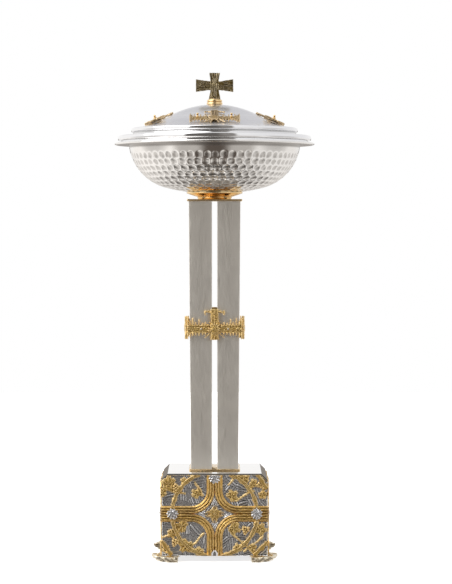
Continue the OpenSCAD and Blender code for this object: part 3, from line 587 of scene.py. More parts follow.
def outer_bowl():
    segments = 720
    wall, inner = spun(0, BOWL_SLOPE), spun(WALL, BOWL_SLOPE)
    foot_r, neck_r, roll, under = wall[-1][0], inner[-1][0], LIP_T / 2, LIP_Z - WALL * 1.25
    tangent = np.gradient(wall, axis=0)
    normal = np.stack([tangent[:, 1], -tangent[:, 0]], axis=1)
    normal /= np.linalg.norm(tangent, axis=1)[:, None]
    marks = hammer_marks(wall, segments)
    cove = [foot_r, under] + np.array([[0.9, -3.6], [1.9, -1.8], [3.6, -0.6], [6.0, -0.1], [12, 0]])
    edge = arc((LIP_R - roll, LIP_Z - roll), roll, 230, 450, 0.6)
    inside = [[neck_r + 4, LIP_Z], [neck_r + 1.5, LIP_Z - 1.5]]
    outline = np.concatenate([wall, cove, edge, inside, inner[::-4], inner[:1]])
    points, faces = spin(outline, segments)
    dented = points.reshape(len(outline), segments, 3)[:len(wall)]
    dented[..., :2] += (marks * normal[:, :1])[..., None] * unit(circle(segments))
    dented[..., 2] += marks * normal[:, 1:]
    add("bowl_hammered", (points, faces), "hammered_silver", "outer_bowl", sharp=60, weld=0.01)


def inner_basin():
    roll = RIM_T / 2
    middle = (RIM_R - roll, LEDGE_Z - roll)
    neck, ledge, lip = middle[0] - roll, LEDGE_Z - LEDGE_DROP, MOUTH_R + WALL
    under = ledge - WALL
    outline = np.concatenate([
        spun(-WALL, 90, BASIN_R)[::2],
        [[lip, under - 1.5], [lip + 1.5, under], [neck, under],
         [neck + 1.5, middle[1] - roll / 2], [neck, LIP_Z], [neck + 3, LIP_Z]],
        bead(middle, roll, 252, 450),
        [[neck + 1, ledge], [MOUTH_R + 2, ledge], [MOUTH_R, ledge - 2]],
        spun(0, 90, BASIN_R)[::-2]])
    add_turned("basin", outline, 288, "satin_silver", "inner_basin", "basin", 50)


def dome(rise, step=2.0):
    """The top of the lid, raised by a little, from the axis to its edge."""
    middle = (0, LID_TOP - CAP_R)
    turn = degrees(TURN)
    far = ((CAP_R + FLARE_R) * sin(TURN), LID_TOP - CAP_R + (CAP_R + FLARE_R) * cos(TURN))
    return np.concatenate([arc(middle, CAP_R + rise, 90, 90 - turn, step),
                           arc(far, FLARE_R - rise, 271 - turn, 270 - degrees(EDGE), step)])


BEAD_R = 4.5


def lid():
    top = dome(0)
    edge_r, edge_z = top[-1]
    skirt, seat, lip = edge_r + BEAD_R, LEDGE_Z - LEDGE_DROP, MOUTH_R - 1
    shelf = seat + 6
    outline = np.concatenate([
        top, bead((edge_r + BEAD_R * 0.8, edge_z - BEAD_R), BEAD_R, 80, -80),
        [[skirt, edge_z - 2 * BEAD_R - 0.5], [skirt, seat + 0.4], [skirt - 0.4, seat],
         [skirt - WALL, seat], [skirt - WALL, shelf], [lip, shelf], [lip, seat - 7],
         [lip - WALL, seat - 7], [lip - WALL, shelf + WALL]],
        dome(-WALL, 5.0)[::-1]])
    add_turned("lid_dome", outline, 288, "satin_silver", "lid", "lid", 50)


def saucer_and_neck():
    (_, _, z), (r, _, _) = box("saucer")
    neck_low, neck_high = box("neck_ring")
    neck = neck_high[0]
    seat = LIP_Z + LIP_DROP - SEAT_GAP + (FLOOR_R - KNUCKLE_R) * cos(radians(FLOOR_SLOPE))
    start = degrees(asin(r / FLOOR_R))
    top = seat - FLOOR_R * cos(radians(start))
    edge = top - SAUCER_EDGE
    under = [[0, z], [neck - 1.1, z], [neck + 1.5, z + 0.2], [neck + 6, z + 1.7],
             [r - 3, edge - 1.3], [r - 1.2, edge - 0.7], [r - 0.3, edge], [r, edge + 0.9],
             [r, top - 0.5]]
    outline = np.concatenate([under, arc((0, seat), FLOOR_R, start - 90, -90, 4)])
    add_turned("saucer_gilt", outline, 192, "gilt_polished", "saucer")
    z, h = neck_low[2], neck_high[2] - neck_low[2]
    outline = [[0, z], [neck - 2.6, z], [neck - 2.2, z + 0.3], [neck - 0.4, z + h * 0.55],
               [neck, z + h * 0.66], [neck, z + h * 0.78], [neck - 0.3, z + h * 0.9],
               [neck - 1, z + h], [0, z + h]]
    add_turned("neck_gilt", outline, 192, "gilt_polished", "neck_ring")


outer_bowl()
inner_basin()
lid()
saucer_and_neck()


# Columns, plates and the top of the base


def columns():
    low, high = box("column_rear_right")
    inner = low[0]
    for name, signs in CORNERS.items():
        rings = []
        for z, outer in ((low[2], inner + COLUMN_W), (high[2], high[0])):
            middle = np.array(signs) * ((outer + inner) / 2)
            rings.append(rounded_square((outer - inner) / 2, COLUMN_ROUND, z, middle))
        add("column_tube_" + name, loft(rings), "satin_steel", "column_" + name)


def plate(name, edge, cad_node):
    """A square gilt plate with softened edges."""
    (_, _, low), (half, _, high) = box(cad_node)
    levels = ((edge, low), (0, low + edge), (0, high - edge), (edge, high))
    rings = [rounded_square(half - cut, PLATE_ROUND, z) for cut, z in levels]
    add(name, loft(rings), "gilt_polished", cad_node)


def base_sheet():
    """The folded top sheet: an outline across the base, drawn from front to back."""
    half, fold, top = BASE_HALF, BASE_HALF - BEVEL, BASE_TOP
    low, under, inward = top - BEVEL, top - SHEET, SHEET * (sqrt(2) - 1)
    lower = low - SHEET * sqrt(2)
    outline = np.array([[-half, low], [-fold, top], [fold, top], [half, low], [half, lower],
                        [fold - inward, under], [inward - fold, under], [-half, lower]])
    soft = []
    for k, corner in enumerate(outline):
        for other in (outline[k - 1], outline[(k + 1) % len(outline)]):
            way = other - corner
            soft.append(corner + way / np.linalg.norm(way) * 0.5)
    x, z = np.array(soft).T
    rings = [flat(x, y, z) for y in (-half, half)]
    add("base_sheet", loft(rings), "mirror_steel", "base_top", sharp=25)


columns()
plate("plate_low", 0.5, "column_base_plate")
plate("plate_high", 0.6, "column_top_plate")
base_sheet()


# Panels of the base, drawn flat with the centre of the cross at the origin


def chisel(points, seed):
    """Depth of the chisel strokes of the ground: patches of cuts that change direction."""
    size = 26.0
    cell = np.floor(points / size).astype(np.int64)
    cell[..., 2] = 0
    nearest = np.full(points.shape[:-1], 1e9)
    second = nearest.copy()
    patch = np.zeros(points.shape[:-1])
    for dx in (-1, 0, 1):
        for dy in (-1, 0, 1):
            other = cell + np.array([dx, dy, 0])
            x = (other[..., 0] + 0.15 + 0.7 * hashed(other, seed)) * size
            y = (other[..., 1] + 0.15 + 0.7 * hashed(other, seed + 1)) * size
            gap = np.hypot(points[..., 0] - x, points[..., 1] - y)
            closer = gap < nearest
            second = np.where(closer, nearest, np.minimum(second, gap))
            patch = np.where(closer, hashed(other, seed + 2), patch)
            nearest = np.where(closer, gap, nearest)
    angle = patch * pi * 1.7
    across = points[..., 0] * np.cos(angle) + points[..., 1] * np.sin(angle)
    along = points[..., 1] * np.cos(angle) - points[..., 0] * np.sin(angle)
    across = (across + 0.35 * noise(points, 9.0, seed + 3)) / (3.6 + 2.2 * patch)
    count = np.floor(across).astype(np.int64)
    chosen = hashed(np.stack([count, (patch * 999).astype(np.int64), 0 * count], axis=-1), seed + 6)
    stroke = 1 - np.abs(2 * (across - count) - 1) ** 1.3
    local = np.stack([across * 4, along, np.zeros_like(across)], axis=-1)
    broken = np.clip(0.75 + 0.9 * noise(local, np.array([4.0, 12.0, 1.0]), seed + 4), 0, 1)
    seam = np.clip((second - nearest) / 2.2, 0, 1)
    ridge = stroke * (0.15 + 0.85 * chosen) * broken * seam
    return 1.5 * (ridge - 1) - 0.3 * np.abs(noise(points, 1.9, seed + 5))


def panel(i):
    step = 1.0
    top = PANEL_TOPS[i]
    y = np.linspace(RELIEF_LOW, top, int((top - RELIEF_LOW) / step) + 1)
    x = np.linspace(-1, 1, int(2 * BASE_HALF / step) + 1)
    half = BASE_HALF - np.clip(y - SIDE_HIGH, 0, None)
    points = flat(x[None, :] * half[:, None], y[:, None])
    rows, columns = points.shape[:2]
    count = rows * columns
    r, c = (np.minimum(np.arange(n), np.arange(n)[::-1]) for n in (rows, columns))
    to_edge = np.minimum(r[:, None], c[None, :])
    points[..., 2] = chisel(points, 40 * i + 5) * np.clip(to_edge / 2, 0, 1)
    points = points.reshape(-1, 3)
    index = np.arange(count).reshape(rows, columns)
    border = np.concatenate([index[0, :-1], index[:-1, -1], index[-1, :0:-1], index[:0:-1, 0]])
    back = points[border] * [(BASE_HALF - PANEL_T) / BASE_HALF, 1, 0] - [0, 0, PANEL_T]
    n = len(border)
    faces = grid_faces(rows, columns)
    for k in range(n):
        after = (k + 1) % n
        faces.append([int(border[k]), int(border[after]), count + after, count + k])
    faces.append([count + k for k in range(n)])
    points = laid(np.concatenate([points, back]), i)
    add("panel_ground_" + SIDES[i], (points, faces), "silver_ground", "panel_" + SIDES[i], sharp=70)


def reed_height(v, points, seed):
    """Height of a hand-cut reeded band at a distance v from the middle of its arm."""
    wobble = 0.5 * noise(points, 13.0, seed)
    t = np.clip((v + wobble * np.clip(v / 4, 0, 1) - 0.4) / (ARM_HALF - 1.2), 0, 1)
    lobes = np.abs(np.sin(pi * 3 * t)) ** 0.75
    fine = np.sin(2 * pi * (v + wobble) / 1.42)
    cuts = np.clip(noise(points, np.array([3.4, 3.4, 1.0]), seed + 1), -1, 1)
    height = 1.7 + 1.75 * lobes + 0.28 * fine * lobes + 0.22 * cuts
    edge = np.clip((ARM_HALF - v) / 0.9, 0, 1)
    return np.where(v < 0.4, 0.5, height) * (0.35 + 0.65 * np.sqrt(edge))


def quadrant(start, end):
    """The band between two arms: along the first arm, round the quarter sweep, up the second."""
    v = np.linspace(0, ARM_HALF, 37)
    step = 0.9
    first = np.linspace(start, SWEEP_C, int((start - SWEEP_C) / step))
    second = np.linspace(SWEEP_C, end, int((end - SWEEP_C) / step))
    a = np.radians(np.linspace(270, 180, 72))[:, None]
    sweep = spot(a, SWEEP_C - v, 0.0, (SWEEP_C, SWEEP_C))
    points = np.concatenate([flat(first[:, None], v), sweep[1:-1], flat(v, second[:, None])])
    return points, grid_faces(len(points), len(v)), np.broadcast_to(v, points.shape[:2])


def cross(i):
    """The reeded cross of a side: four bands, with walls and an underside that close them."""
    ends = (BASE_HALF, PANEL_TOPS[i], BASE_HALF, -RELIEF_LOW)
    parts = []
    for q in range(4):
        points, faces, v = quadrant(ends[q], ends[(q + 1) % 4])
        points = turned(points, q)
        height = reed_height(v, points, 300 + 10 * i)
        at_side = np.abs(points[..., 0]) > BASE_HALF - 0.01
        points[..., 0] += np.where(at_side, np.sign(points[..., 0]) * height, 0)
        points[..., 2] = height
        parts.append((points.reshape(-1, 3), faces))
    made = build("cross_reeded_" + SIDES[i], *merge(parts), weld=0.02)
    bm = bmesh.new()
    bm.from_mesh(made.data)
    rim = [e for e in bm.edges if len(e.link_faces) == 1]
    grown = bmesh.ops.extrude_edge_only(bm, edges=rim)["geom"]
    for vert in (g for g in grown if isinstance(g, bmesh.types.BMVert)):
        vert.co.z = -1.1 * MM
        vert.co.x = max(-BASE_HALF * MM, min(BASE_HALF * MM, vert.co.x))
    edges = [g for g in grown if isinstance(g, bmesh.types.BMEdge)]
    low = [e for e in edges if all(v.co.z < -MM for v in e.verts)]
    bmesh.ops.triangle_fill(bm, edges=low, use_beauty=False)
    bmesh.ops.recalc_face_normals(bm, faces=bm.faces)
    bm.to_mesh(made.data)
    bm.free()
    points = laid(read(made.data.vertices, "co", 3) / MM, i) * MM
    made.data.vertices.foreach_set("co", points.ravel())
    made.data.update()
    made.data.shade_smooth()
    made.data.set_sharp_from_angle(angle=radians(50))
    piece(made, "gilt_casting", "stand", ["cross_" + SIDES[i]])


# Leaves: place, size and turn, on the ground round the cross
LEAVES = [
    (-100, 64, 19, 20), (-84, 82, 13, 100), (-111, 46, 11, 200), (-38, 43, 13, 130),
    (-66, 70, 9, 10), (63, 79, 15, 250), (82, 66, 11, 330), (37, 38, 15, 40), (102, 42, 11, 300),
    (-70, -26, 17, 160), (-62, -70, 18, 90), (-92, -42, 11, 220), (-34, -80, 11, 20),
    (-104, -76, 10, 60),
    (41, -30, 16, 330), (97, -34, 16, 60), (50, -74, 12, 110), (80, -72, 10, 10),
]

# Bunches of grapes: place of the middle grape in the second row, and turn
GRAPES = [(-82, 56, -30), (98, 62, 40), (-84, -60, -20), (66, -34, -10)]

# Thick bands across the corners: from one end to the other
BANDS = [((90, 86), (112, 54)), ((-114, -58), (-92, -88)), ((112, -60), (86, -88))]

# Twigs: from one end to the other
TWIGS = [
    ((-42, 68), (-24, 38)), ((-104, 52), (-62, 42)),
    ((44, 28), (84, 50)), ((28, 62), (52, 84)),
    ((-112, -52), (-76, -38)), ((-50, -70), (-22, -42)),
    ((32, -36), (86, -88)), ((104, -48), (62, -82)), ((26, -86), (58, -72)),
]

# Arrowheads round the lozenge: place, turn and size
ARROWS = [(-27.5, 0, 180, 8.6), (28.5, 0, 0, 8.6), (0, 25, 90, 7.6), (0, -25, 270, 7.6)]


def bough(a, b, thick, draw, wave=1.2):
    """A knotty twig between two places."""
    a, b = np.array(a, float), np.array(b, float)
    n = max(6, int(np.linalg.norm(b - a) / 2.5))
    t = np.linspace(0, 1, n)[:, None]
    line = a + (b - a) * t
    across = np.array([-(b - a)[1], (b - a)[0]]) / np.linalg.norm(b - a)
    bend = wave * np.sin(t * pi * 2 + draw.random() * 6) + draw.normal(0, 0.25, (n, 1))
    line = line + across * bend
    swing = np.maximum(0, np.sin(t[:, 0] * n * 0.75 + draw.random() * 6))
    knots = 1 + 0.28 * swing + draw.normal(0, 0.05, n)
    return tube(flat(*line.T, thick * 0.3), thick * knots, thick * 0.95 * knots, 8)


def leaf(x, y, size, turn, draw):
    """A vine leaf: a webbed blade of five lobes with toothed edges and raised veins."""
    yield ball((x, y, 0.5), (size * 0.60, size * 0.60, 1.7))
    for spread, share in ((-132, 0.78), (-66, 0.92), (0, 1.0), (66, 0.92), (132, 0.78)):
        a = radians(turn + spread + draw.uniform(-8, 8))
        reach = size * share * draw.uniform(0.92, 1.02)
        t = np.linspace(0.05, 1, 8)
        curl = a + draw.uniform(-0.25, 0.25) * t
        path = spot(curl, reach * t, 0.5 + 0.7 * np.sin(t * 3), (x, y))
        shape = size * 0.36 * np.sin(np.clip(t * 2.7 + 0.3, 0, pi)) ** 0.8 + 0.45
        yield tube(path, shape, 1.6, 10)
        yield tube(path[:-1] + [0, 0, 1.5], 0.9 * (1.2 - t[:-1]), 0.8, 6)
        for j in (2, 3, 5, 6):
            for hand in (-1, 1):
                tip = path[j] + spot(curl[j] + hand * 0.8, shape[j] * 1.15, 0.5)
                tooth = np.linspace(path[j] + [0, 0, 1.2], tip, 4)
                yield tube(tooth, (0.7, 0.75, 0.8, 0.7), 0.7, 6)


def grapes(x, y, turn, draw):
    """A bunch of grapes in rows of three, three, two and one, a little loose."""
    c, s = cos(radians(turn)), sin(radians(turn))
    pitch, step = 5.2, 4.6
    for row, count in enumerate((3, 3, 2, 1)):
        for k in range(count):
            u, w = (k - (count - 1) / 2) * pitch, step - row * step
            at_x = x + c * u - s * w + draw.normal(0, 0.3)
            at_y = y + s * u + c * w + draw.normal(0, 0.3)
            yield ball((at_x, at_y, 1.0), draw.uniform(2.8, 3.3))


def vine(i):
    draw = np.random.default_rng(70 + i)
    top = PANEL_TOPS[i]
    parts = []
    for start in range(0, 360, 90):
        a = np.radians(np.arange(start + 9, start + 82, 1.6))
        place = RING_R * unit(a)
        inside = (place[:, 1] < top + 3) & (place[:, 1] > RELIEF_LOW - 3)
        place, a = place[inside], a[inside]
        if len(place) < 4:
            continue
        knots = 1 + 0.22 * np.sin(a * 23) + draw.normal(0, 0.06, len(a))
        parts.append(tube(flat(*place.T, 0.9), 4.6 * knots, 2.4 * knots, 12))
        for way in (-1, 0, 1):
            strand = place * (1 + way * 0.030 + 0.006 * np.sin(a * 17 + way))[:, None]
            parts.append(tube(flat(*strand.T, 2.8), 1.2, 1.1, 6))
    parts += [bough(a, b, 2.3, draw) for a, b in TWIGS]
    parts += [bough(a, b, 4.2, draw, 0.5) for a, b in BANDS]
    for x, y, size, turn in LEAVES:
        if y < top - 2:
            parts += leaf(x, y, size, turn, draw)
    for x, y, turn in GRAPES:
        if y < top - 2:
            parts += grapes(x, y, turn, draw)
    points, faces = tooled(parts, "vine", i)
    limit(points, 1, RELIEF_LOW + 0.2, top - 0.2)
    half = BASE_HALF - np.clip(points[:, 1] - SIDE_HIGH, 0, None) + np.clip(points[:, 2], 0, 4)
    limit(points, 0, -half, half)
    limit(points, 2, -1.5, 4.0)
    add_casting("vine_cast_" + SIDES[i], laid(points, i), faces, "vine_" + SIDES[i], "gilt_painted_bright")


def rosette(x, y, radius, draw):
    """A rough bright stud: two rings of cut petals round a small heart."""
    yield ball((x, y, 1.0), (radius * 0.85, radius * 0.85, 2.6))
    yield ball((x, y, 4.4), 1.9, 7)
    rings = ((10, 0.74, 0.29, 0.27, 3.4, 2.8), (6, 0.36, 0.24, 0.20, 4.8, 2.0))
    for count, at, long, wide, out, rise in rings:
        start = draw.uniform(0, 360)
        for k in range(count):
            a = radians(start + 360 * k / count + draw.uniform(-6, 6))
            inner = spot(a, radius * (at - long), out, (x, y))
            outer = spot(a, radius * (at + long), out - 1.2 + draw.uniform(0, 1.0), (x, y))
            t = np.linspace(0, 1, 6)[:, None]
            width = radius * wide * np.sin(t[:, 0] * 2.2 + 0.5)
            yield tube(inner + (outer - inner) * t, width, rise * 0.6, 5)


def arrow(x, y, turn, size, draw):
    """A cut silver arrowhead that points away from the lozenge."""
    c, s = cos(radians(turn)), sin(radians(turn))
    for hand in (-1, 1):
        for start, end, thick in (((-0.9, 0.9), (1.0, 0.0), 1.7), ((-0.9, 0.45), (0.35, 0.0), 1.3)):
            a = np.array([start[0], hand * start[1]]) * size
            b = np.array(end) * size
            t = np.linspace(0, 1, 6)[:, None]
            u, w = (a + (b - a) * t + draw.normal(0, 0.2, (6, 2))).T
            yield tube(flat(x + c * u - s * w, y + s * u + c * w, 1.1), thick, 1.6, 4)


def panel_studs():
    """On each panel three bright studs, four arrowheads and the peak under the cross."""
    made_parts = []
    draw = np.random.default_rng(31)
    foot, peak = RELIEF_LOW, RELIEF_LOW + 13
    for i in range(4):
        top = PANEL_TOPS[i]
        parts = []
        for x, y in ((-STUD_OUT, 0), (STUD_OUT, 0), (0, top - 6)):
            parts += rosette(x, y, STUD_R, draw)
        for values in ARROWS:
            parts += arrow(*values, draw)
        parts.append(slab([[-11, foot + 0.4], [11, foot + 0.4], [2, peak], [-2, peak]], -0.5, 4.4))
        for hand in (-1, 1):
            ridge = [(hand * 9.5, foot + 1.5, 4.6), (0, peak - 0.5, 5.2)]
            parts.append(tube(ridge, 1.3, 1.2, 6))
        points, faces = tooled(parts, "studs", i)
        roof = np.where(points[:, 1] < peak + 1, 5.4 - 0.34 * np.abs(points[:, 0]), 7.0)
        limit(points, 2, -0.5, roof)
        limit(points, 1, foot, top - 0.1)
        made_parts.append((laid(points, i), faces))
    add("studs_cut", merge(made_parts), "bright_stud", "cross_studs", sharp=24)


def lozenge(i):
    """The gilt lozenge: a square flower with four broad cut petals, four small ones and a heart."""
    draw = np.random.default_rng(60 + i)
    wide, tall = LOZENGE_HALF
    corners = np.array([[wide, 0], [0, tall], [-wide, 0], [0, -tall]]) * 0.8
    parts = [slab(corners, -1.1, 0.8)]
    for k in range(8):
        a = radians(45 * k)
        if k % 2 == 0:
            reach, bend, width = LOZENGE_HALF[k // 2 % 2], 0.42, 2.6
        else:
            reach, bend, width = 12.5, 0.2, 2.1
        reach *= draw.uniform(0.95, 1.02)
        t = np.linspace(0.1, 1, 9)
        for hand in (-1, 1):
            bow = a + hand * bend * np.sin(t * 3.0)
            path = spot(bow, reach * t, 1.0 + 1.3 * np.sin(t * 2.6))
            parts.append(tube(path, width * np.sin(t * 2.5 + 0.5), 1.5, 7))
        parts.append(tube(spot(a, reach * 0.8 * t, 2.6), 0.8, 1.0, 6))
    for k in range(6):
        parts.append(ball(spot(radians(60 * k + 15), 3.1, 2.6), (1.7, 1.7, 1.5), 7))
    parts.append(ball((0, 0, 2.9), (1.8, 1.8, 1.5), 8))
    points, faces = tooled(parts, "lozenge", i)
    limit(points, 2, -1.2, 4.2)
    name = SIDES[i]
    add_casting("lozenge_cut_" + name, laid(points, i), faces, "lozenge_" + name, "gilt_painted_bright")


for side in range(4):
    panel(side)
    cross(side)
    vine(side)
    lozenge(side)
panel_studs()


# Feet: spread leaves under the corners


def foot(i, name):
    """Flat lobed leaves, one on another, with a block that runs under the base."""
    draw = np.random.default_rng(80 + i)
    root = BASE_HALF - FOOT_INSET
    length = FOOT_INSET + FOOT_REACH
    tips = 4

    def blade(share, low, high, shift=0.0):
        turn = np.linspace(0, 1, 161)
        swell = np.abs(np.cos((turn - shift) * pi * (tips - 1))) ** 1.2
        notch = 0.10 + 0.04 * draw.random()
        edge = (length * share * (1 - notch * (1 - swell)))[:, None] * unit(turn * pi / 2)
        heel = [[-1, length * 0.4], [-1, -1], [length * 0.4, -1]]
        return slab(np.concatenate([edge, heel]), low, high)

    parts = [blade(1.0, 7.0, 11.2), blade(0.93, 3.6, 9.0, 0.04), blade(0.84, 0.0, 5.0, 0.08)]
    t = np.linspace(0.06, 0.97, 16)
    for k in range(tips):
        a = radians(90 * k / (tips - 1))
        vein = spot(a + 0.05 * np.sin(t * 6 + k), length * t, 12.0 + 0.2 * np.sin(t * 20 + k))
        parts.append(tube(vein, 1.5 * (1.2 - t), 1.2, 8))
        for j in range(4, 15, 3):
            for hand in (-1, 1):
                tip = vein[j] + spot(a + hand * 0.62, 8.5 * t[j], -0.4)
                parts.append(tube(np.linspace(vein[j], tip, 4), (0.8, 0.8, 0.7, 0.5), 0.6, 6))
    far = FOOT_INSET - 1
    parts.append(slab([[0, 0], [far, 0], [far, far], [0, far]], 0.0, FOOT_H))
    points, faces = tooled(parts, "foot", i)
    x, y, z = points.T
    along = np.hypot(x, y) / length
    wave = 0.9 * np.cos(np.arctan2(y, x) * 4 * (tips - 1)) * np.clip(along * 2 - 0.9, 0, 1)
    z += wave * np.clip(z / 8, 0, 1)
    crown, cast_top = 16.6 - 3.0 * along ** 2, 12.9
    z *= np.where(z < 14.5, crown / cast_top, 1)
    under_base = np.maximum(x, y) < FOOT_INSET + 4.5
    z = np.clip(z, 0, np.where(under_base, FOOT_H, FOOT_H + 2.8))
    spread = np.where(along > 0.8, 1 + (along - 0.8) * 0.22, 1)
    sx, sy = CORNERS[name]
    x, y = (np.minimum(v * spread + root, BASE_HALF + FOOT_REACH) for v in (x, y))
    # The feet take the paler copy of the gilt: painted highlight.
    add_casting("foot_leaf_" + name, flat(x * sx, y * sy, z), faces, "foot_" + name, "gilt_painted_highlight")


for number, corner_name in enumerate(CORNERS):
    foot(number, corner_name)


# Cast plaques of the collar and the lid

# Places of the hooked teeth along a half beam, with their lengths up and down
TEETH = ((0.975, 0.90, 0.80), (0.90, 0.55, 0.62), (0.80, 0.88, 0.34), (0.68, 0.36, 0.30),
         (0.57, 0.74, 0.36), (0.44, 0.25, 0.22), (0.33, 0.34, 0.26))

# Longer rays: angle and share of the reach
RAYS = ((35, 1.15), (52, 1.15), (128, 1.15), (145, 1.15), (222, 1.75), (318, 1.75), (248, 1.45),
        (292, 1.45))


def hook(x, y, lean, high, thick):
    """A small tooth that ends in a hook: from the beam outwards, leaning to one side."""
    t = np.linspace(0, 1, 8)
    bend = x + lean * (t ** 2) + 0.35 * lean * np.sin(t * 5)
    path = flat(bend, y + high * t, 1.6 + 0.8 * np.sin(t * 3))
    return tube(path, thick * (1.15 - 0.5 * t), thick * 0.9, 8)


def plaque(half, beam, up, down, reach, draw):
    """A cast plaque: a knobbly beam with hooked teeth, a fluted upright with a crossbar, rays."""
    wide, bar = UPRIGHT_W, CROSSBAR
    t = np.linspace(-1, 1, 60)
    swell = 1 + 0.07 * np.sin(t * 37) + draw.normal(0, 0.03, len(t))
    line = flat(t * (half - 0.3), 0.25 * np.sin(t * 19), 1.4)
    yield tube(line, beam * 0.49 * swell, 2.3, 12)
    for edge in (-0.40, -0.14, 0.14, 0.40):
        y = beam * edge + 0.5 * np.sin(t * (17 + 9 * edge) + edge * 9)
        width = beam * 0.10 + 0.4 * np.sin(t * 51 + edge * 20)
        yield tube(flat(t * (half - 0.6), y, 2.4), width, 1.3, 8)
    for _ in range(120):
        x = draw.uniform(-0.98, 0.98) * half
        if abs(x) < wide * 0.7:
            continue
        y = draw.uniform(-0.5, 0.5) * beam
        size = [draw.uniform(*limits) for limits in ((1.2, 2.6), (1.0, 2.1), (1.3, 2.1))]
        yield ball((x, y, 2.3), size, 7)
    for x, rise, fall in TEETH:
        for hand in (-1, 1):
            lean = hand * draw.uniform(-2.0, 1.2)
            thick = min(beam, 18) * draw.uniform(0.105, 0.15)
            yield hook(hand * x * half, beam * 0.35, lean, reach * (rise + 0.2), thick)
            yield hook(hand * x * half, -beam * 0.35, lean, -reach * (fall + 0.2), thick)
    s = np.linspace(0, 1, 24)
    for flute, width in ((-0.40, 0.13), (-0.20, 0.11), (0.0, 0.12), (0.20, 0.11), (0.40, 0.13)):
        x = flute * wide + 0.35 * np.sin(s * 9 + flute * 7)
        line = flat(x, -down + (up + down) * s, 2.6 - 0.5 * abs(flute))
        yield tube(line, width * wide * (1 + 0.06 * np.sin(s * 31 + flute * 5)), 2.0, 8)
    side, foot, head = wide / 2, 0.5 - down, up - 0.4
    yield slab([[-side, foot], [side, foot], [side, head], [-side, head]], 0.2, 2.6)
    high = up - bar * 0.155
    span = np.linspace(-1, 1, 30)
    line = flat(span * bar * 0.48, high + 1.0 * np.sin(span * 5), 1.9)
    yield tube(line, bar * 0.046 * (1 + 0.2 * np.sin(span * 21)), 1.9, 8)
    t = np.linspace(0, 1, 9)
    for hand in (-1, 1):
        x = hand * bar * (0.45 + 0.04 * np.sin(t * 3.1))
        curl = flat(x, high + bar * (0.07 - 0.22 * t), 1.9)
        yield tube(curl, bar * 0.046 * (1.1 - 0.4 * t), 1.7, 8)
        yield ball((hand * bar * 0.30, high + bar * 0.05, 2.0), (2.2, 1.6, 1.6), 8)
    for turn in range(0, 360, 12):
        a = radians(turn + draw.uniform(-3, 3))
        line = np.linspace(spot(a, 1.2, 5.2), spot(a, reach * draw.uniform(0.62, 1.0), 3.6), 7)
        yield tube(line, (0.9, 1.05, 1.05, 0.95, 0.85, 0.7, 0.5), 1.2, 6)
    for turn, share in RAYS:
        line = np.linspace([0, 0, 3.0], spot(radians(turn), reach * share, 1.6), 10)
        yield tube(line, np.linspace(1.7, 1.05, 10), 1.4, 8)
    yield ball((0, 0, 3.6), 2.2, 10)


def collar():
    draw = np.random.default_rng(21)
    pins = []
    for i, name in enumerate(SIDES):
        low, high = box("collar_plaque_" + name)
        up, down = high[2] - COLLAR_Z, COLLAR_Z - low[2]
        parts = plaque(COLLAR_HALF, BEAM_H, up, down, BEAM_H, draw)
        points, faces = tooled(parts, "collar", i)
        thicker = points[:, 2] * 1.25 + 0.05 * np.clip(np.abs(points[:, 1]) - 6, 0, 20)
        points[:, 2] = np.clip(thicker, 0, COLLAR_T)
        mitre = COLLAR_HALF - 1 + points[:, 2]
        limit(points, 0, -mitre, mitre)
        limit(points, 1, -down, up)
        points = laid(points, i, BAND_OUT, COLLAR_Z)
        add_casting("plaque_cast_" + name, points, faces, "collar_plaque_" + name, "gilt_painted_bright")
        for x in (-COLLAR_PIN_X, COLLAR_PIN_X):
            shank = tube([(x, 0, -4), (x, 0, 4)], 1.4, None, 12)
            for points, faces in (ball((x, 0, 4.2), 2.5, 16), shank):
                pins.append((laid(points, i, BAND_OUT, COLLAR_Z), faces))
    add("collar_pins", merge(pins), "fastener_steel", "collar_studs")


def dome_height(radius):
    """Height of the top of the lid at each distance from its axis."""
    return np.interp(radius, *dome(0, 0.7).T)


def lid_plaques():
    """Flat castings that stand on the tips of their rays and lean against the cap."""
    draw = np.random.default_rng(22)
    foot_z = dome_height(LID_PLAQUE_R) + SEAT_GAP
    over = foot_z - LID_TOP + CAP_R
    lean = asin((CAP_R + SEAT_GAP) / hypot(LID_PLAQUE_R, over)) - atan2(over, LID_PLAQUE_R)
    c, s = cos(lean), sin(lean)
    up = LID_UPRIGHT - LID_BEAM / 2
    parts = plaque(LID_PLAQUE_HALF, LID_BEAM * 0.94, up, 10, LID_BEAM, draw)
    points, faces = tooled(parts, "lid")
    out = np.clip(points[:, 2], 0, LID_PLAQUE_T)
    along = np.clip(points[:, 1] + LID_REACH, 0, LID_REACH + LID_UPRIGHT - LID_BEAM / 2)
    placed = flat(points[:, 0], along * c - LID_PLAQUE_R - out * s, foot_z + along * s + out * c)
    pin = spin([[0, -3], [2.2, -3], [2.4, 0.6], [3.0, 1.4], [2.9, 2.4], [1.9, 3.4], [1.6, 5.0],
                [1.9, 5.8], [2.5, 6.5], [2.6, 7.6], [1.8, 8.7], [0, 9.0]], 20)
    seat = np.array([LID_PIN_X, LID_REACH * c - LID_PLAQUE_R, foot_z + LID_REACH * s + 4 / c])
    pins = []
    for i, name in enumerate(SIDES):
        # The lid plaques take the darker copy of the gilt: painted shade.
        add_casting("lid_plaque_cast_" + name, turned(placed, i), faces, "lid_plaque_" + name,
                    "gilt_painted_shade", "lid")
        pins += [(turned(pin[0] + seat * [x, 1, 1], i), pin[1]) for x in (-1, 1)]
    add("lid_pins", merge(pins), "gilt_polished", "lid_studs", "lid", weld=0.01)


collar()
lid_plaques()


# Finial


